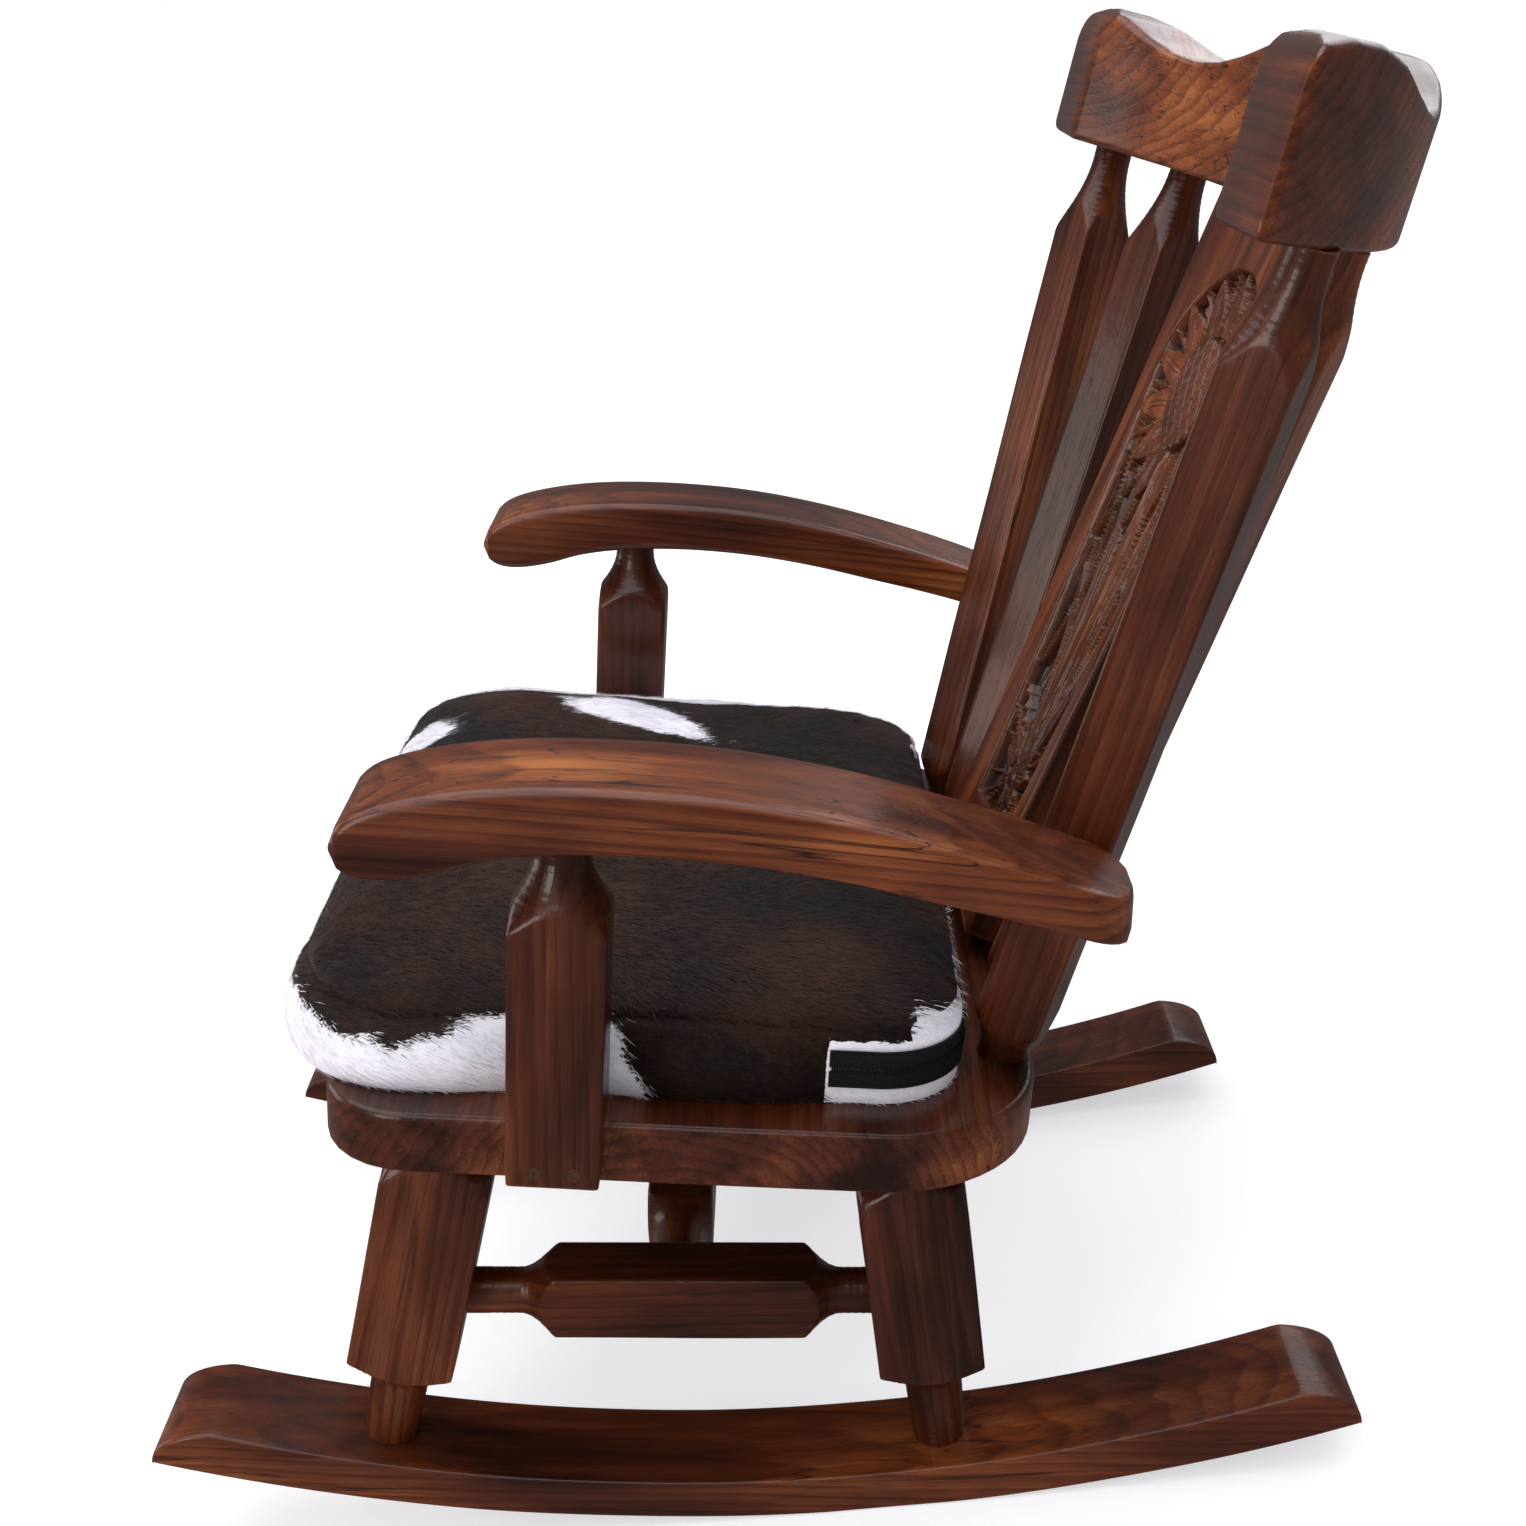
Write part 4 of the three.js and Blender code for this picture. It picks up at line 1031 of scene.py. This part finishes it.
def hide_material(name, roughness):
    """Cowhide: near-black and brown hair with ragged white patches, combed one way."""
    n = Nodes(name)
    place = n.attribute("grain", "Vector")
    ragged = n.noise(n.along(place, 1.0), 45.0, 6.0, 0.65)
    comb = n.noise(n.stretched(place, (1.0, 0.16, 0.5)), 900.0, 3.0, 0.6)
    field = n.plus(n.attribute("white"), n.times(n.minus(ragged, 0.5), 1.8))
    field = n.plus(field, n.times(n.minus(comb, 0.5), 1.6))
    pale = n.ramp(n.plus(n.times(field, 0.5), 0.5), [(0.47, 0.0), (0.57, 1.0)])
    fur = n.plus(n.times(n.noise(place, 7.0, 4.0, 0.6), 0.75), n.times(comb, 0.35))
    dark = n.ramp(fur, [(0.40, (0.0030, 0.0022, 0.0025)), (0.52, (0.0085, 0.0036, 0.0026)),
                        (0.64, (0.030, 0.0098, 0.0050)), (0.85, (0.055, 0.019, 0.009))])
    snow = n.ramp(fur, [(0.3, (0.50, 0.46, 0.50)), (0.6, (0.80, 0.77, 0.82))])
    shader = n.add("BsdfPrincipled", {
        "Base Color": n.mix(pale, dark, snow), "Roughness": roughness,
        "Specular IOR Level": 0.16, "Sheen Weight": 0.06, "Sheen Roughness": 0.4,
        "Normal": n.bump(comb, 0.55, 0.0010)})
    return n.finish(shader)


def tape_material():
    """Black woven zip tape."""
    n = Nodes("zip_tape")
    weave = n.noise(n.stretched(n.attribute("grain", "Vector"), (1.0, 1.0, 0.6)),
                    1400.0, 2.0, 0.5)
    colour = n.ramp(weave, [(0.3, (0.002, 0.002, 0.0025)), (0.7, (0.010, 0.010, 0.012))])
    shader = n.add("BsdfPrincipled", {"Base Color": colour, "Roughness": 0.7,
                                      "Normal": n.bump(weave, 0.5, 0.0004),
                                      "Specular IOR Level": 0.2})
    return n.finish(shader)


def object_material(name, dark, light, scale, rough, metallic=0.0):
    """Noise-mottled finish for small CAD pieces, in their own coordinates."""
    n = Nodes(name)
    grain = n.noise(n.add("TexCoord").outputs["Object"], scale, 4.0, 0.6)
    gloss = n.ramp(grain, [(0.3, rough), (0.7, rough + 0.15)])
    shader = n.add("BsdfPrincipled", {
        "Base Color": n.ramp(grain, [(0.3, dark), (0.7, light)]), "Roughness": gloss,
        "Metallic": metallic, "Normal": n.bump(grain, 0.2, 0.0003)})
    return n.finish(shader)


def paint_small_nodes():
    """CAD nodes that stay visible: plugs, screws, slider and pull."""
    plug = object_material("plug_wood", (0.020, 0.006, 0.003), (0.075, 0.022, 0.010), 700, 0.3)
    steel = object_material("screw_steel", (0.30, 0.30, 0.31), (0.52, 0.52, 0.54), 900, 0.3, 1.0)
    zinc = object_material("zip_metal", (0.16, 0.15, 0.14), (0.34, 0.33, 0.31), 800, 0.35, 1.0)
    finishes = {"plug": plug, "screw": steel, "zip_slider": zinc, "zip_pull": zinc}
    for piece in bpy.data.objects:
        if piece.type != "MESH" or piece.hide_render:
            continue
        for key in [k for k in finishes if k in piece.name]:
            piece.data.materials.clear()
            piece.data.materials.append(finishes[key])
            bevel = piece.modifiers.new("eased", "BEVEL")
            bevel.width = 0.0004
            bevel.segments = 2
            bevel.limit_method = "ANGLE"


# ---- studio
def area_light(name, place, aim, size, power, colour=(1, 1, 1)):
    data = bpy.data.lights.new(name, "AREA")
    data.shape = "RECTANGLE"
    data.size, data.size_y = size
    data.energy = power
    data.color = colour
    light = bpy.data.objects.new(name, data)
    link(light)
    light.location = place
    light.rotation_euler = (Vector(aim) - Vector(place)).to_track_quat("-Z", "Y").to_euler()


def make_world():
    """White to the camera, dim as a light and dimmer still in the lacquer."""
    world = bpy.data.worlds.new("studio")
    bpy.context.scene.world = world
    world.use_nodes = True
    tree = world.node_tree
    back = tree.nodes["Background"]
    back.inputs[0].default_value = (0.95, 0.96, 1.0, 1)
    seen = tree.nodes.new("ShaderNodeBackground")
    seen.inputs[0].default_value = (1, 1, 1, 1)
    seen.inputs[1].default_value = 1.0
    ray = tree.nodes.new("ShaderNodeLightPath")
    dim = tree.nodes.new("ShaderNodeMath")
    dim.operation = "MULTIPLY_ADD"
    dim.inputs[1].default_value = IN_LACQUER - AS_LIGHT
    dim.inputs[2].default_value = AS_LIGHT
    mix = tree.nodes.new("ShaderNodeMixShader")
    for source, socket in ((ray.outputs["Is Glossy Ray"], dim.inputs[0]),
                           (dim.outputs[0], back.inputs[1]),
                           (ray.outputs["Is Camera Ray"], mix.inputs[0]),
                           (back.outputs[0], mix.inputs[1]),
                           (seen.outputs[0], mix.inputs[2]),
                           (mix.outputs[0], tree.nodes["World Output"].inputs[0])):
        tree.links.new(source, socket)


def make_floor():
    """Pale paper floor, glowing a little more towards its far edge so that no edge shows."""
    reach = 60
    mesh = bpy.data.meshes.new("floor")
    mesh.from_pydata([(-reach, -reach, 0), (reach, -reach, 0), (reach, reach, 0),
                      (-reach, reach, 0)], [], [(0, 1, 2, 3)])
    floor = bpy.data.objects.new("floor", mesh)
    link(floor)
    floor.location.z = -0.0004
    floor.visible_glossy = False
    n = Nodes("paper")
    place = n.add("TexCoord").outputs["Object"]
    tooth = n.noise(place, 60.0, 3.0, 0.5)
    colour = n.ramp(tooth, [(0.3, (0.53, 0.53, 0.535)), (0.7, (0.55, 0.55, 0.555))])
    far = n.add("VectorMath", {0: place}, operation="LENGTH").outputs["Value"]
    glow = n.ramp(n.times(far, 0.2), [(0.16, 0.56), (0.5, 0.86)])
    paper = n.add("BsdfPrincipled", {"Base Color": colour, "Roughness": 0.9,
                                     "Specular IOR Level": 0.1, "Emission Strength": glow,
                                     "Emission Color": (0.98, 0.98, 1.0, 1)})
    mesh.materials.append(n.finish(paper))


def make_studio():
    make_floor()
    make_world()
    area_light("overhead", (0.2, -0.2, 2.5), (0, 0, 0.4), (3.2, 3.0), 78, (0.93, 0.95, 1.0))
    area_light("near", (2.4, -1.6, 1.5), (0, 0, 0.4), (1.0, 1.6), 30, (1.0, 0.98, 0.96))
    area_light("front", (-0.8, -3.0, 1.1), (0, 0, 0.6), (1.6, 1.8), 24, (1.0, 0.94, 0.90))
    area_light("behind", (-1.8, 1.4, 1.9), (0, 0.1, 0.7), (1.6, 1.6), 16, (0.94, 0.96, 1.0))
    bpy.context.scene.view_settings.view_transform = "Standard"
    bpy.context.scene.view_settings.exposure = 0.0


# ---- the chair
wood = wood_material()
make_legs(wood)
make_stretchers(wood)
make_arm_posts(wood)
make_back_posts(wood)
make_rockers(wood)
make_arms(wood)
make_seat(wood)
make_crest(wood)
make_splat(wood)
cushion_points = make_cushion(hide_material("cowhide", 0.62))
hair_blades(*cushion_points, hide_material("cowhide_hair", 0.48))
make_zip(tape_material())
paint_small_nodes()
make_studio()
make_camera()
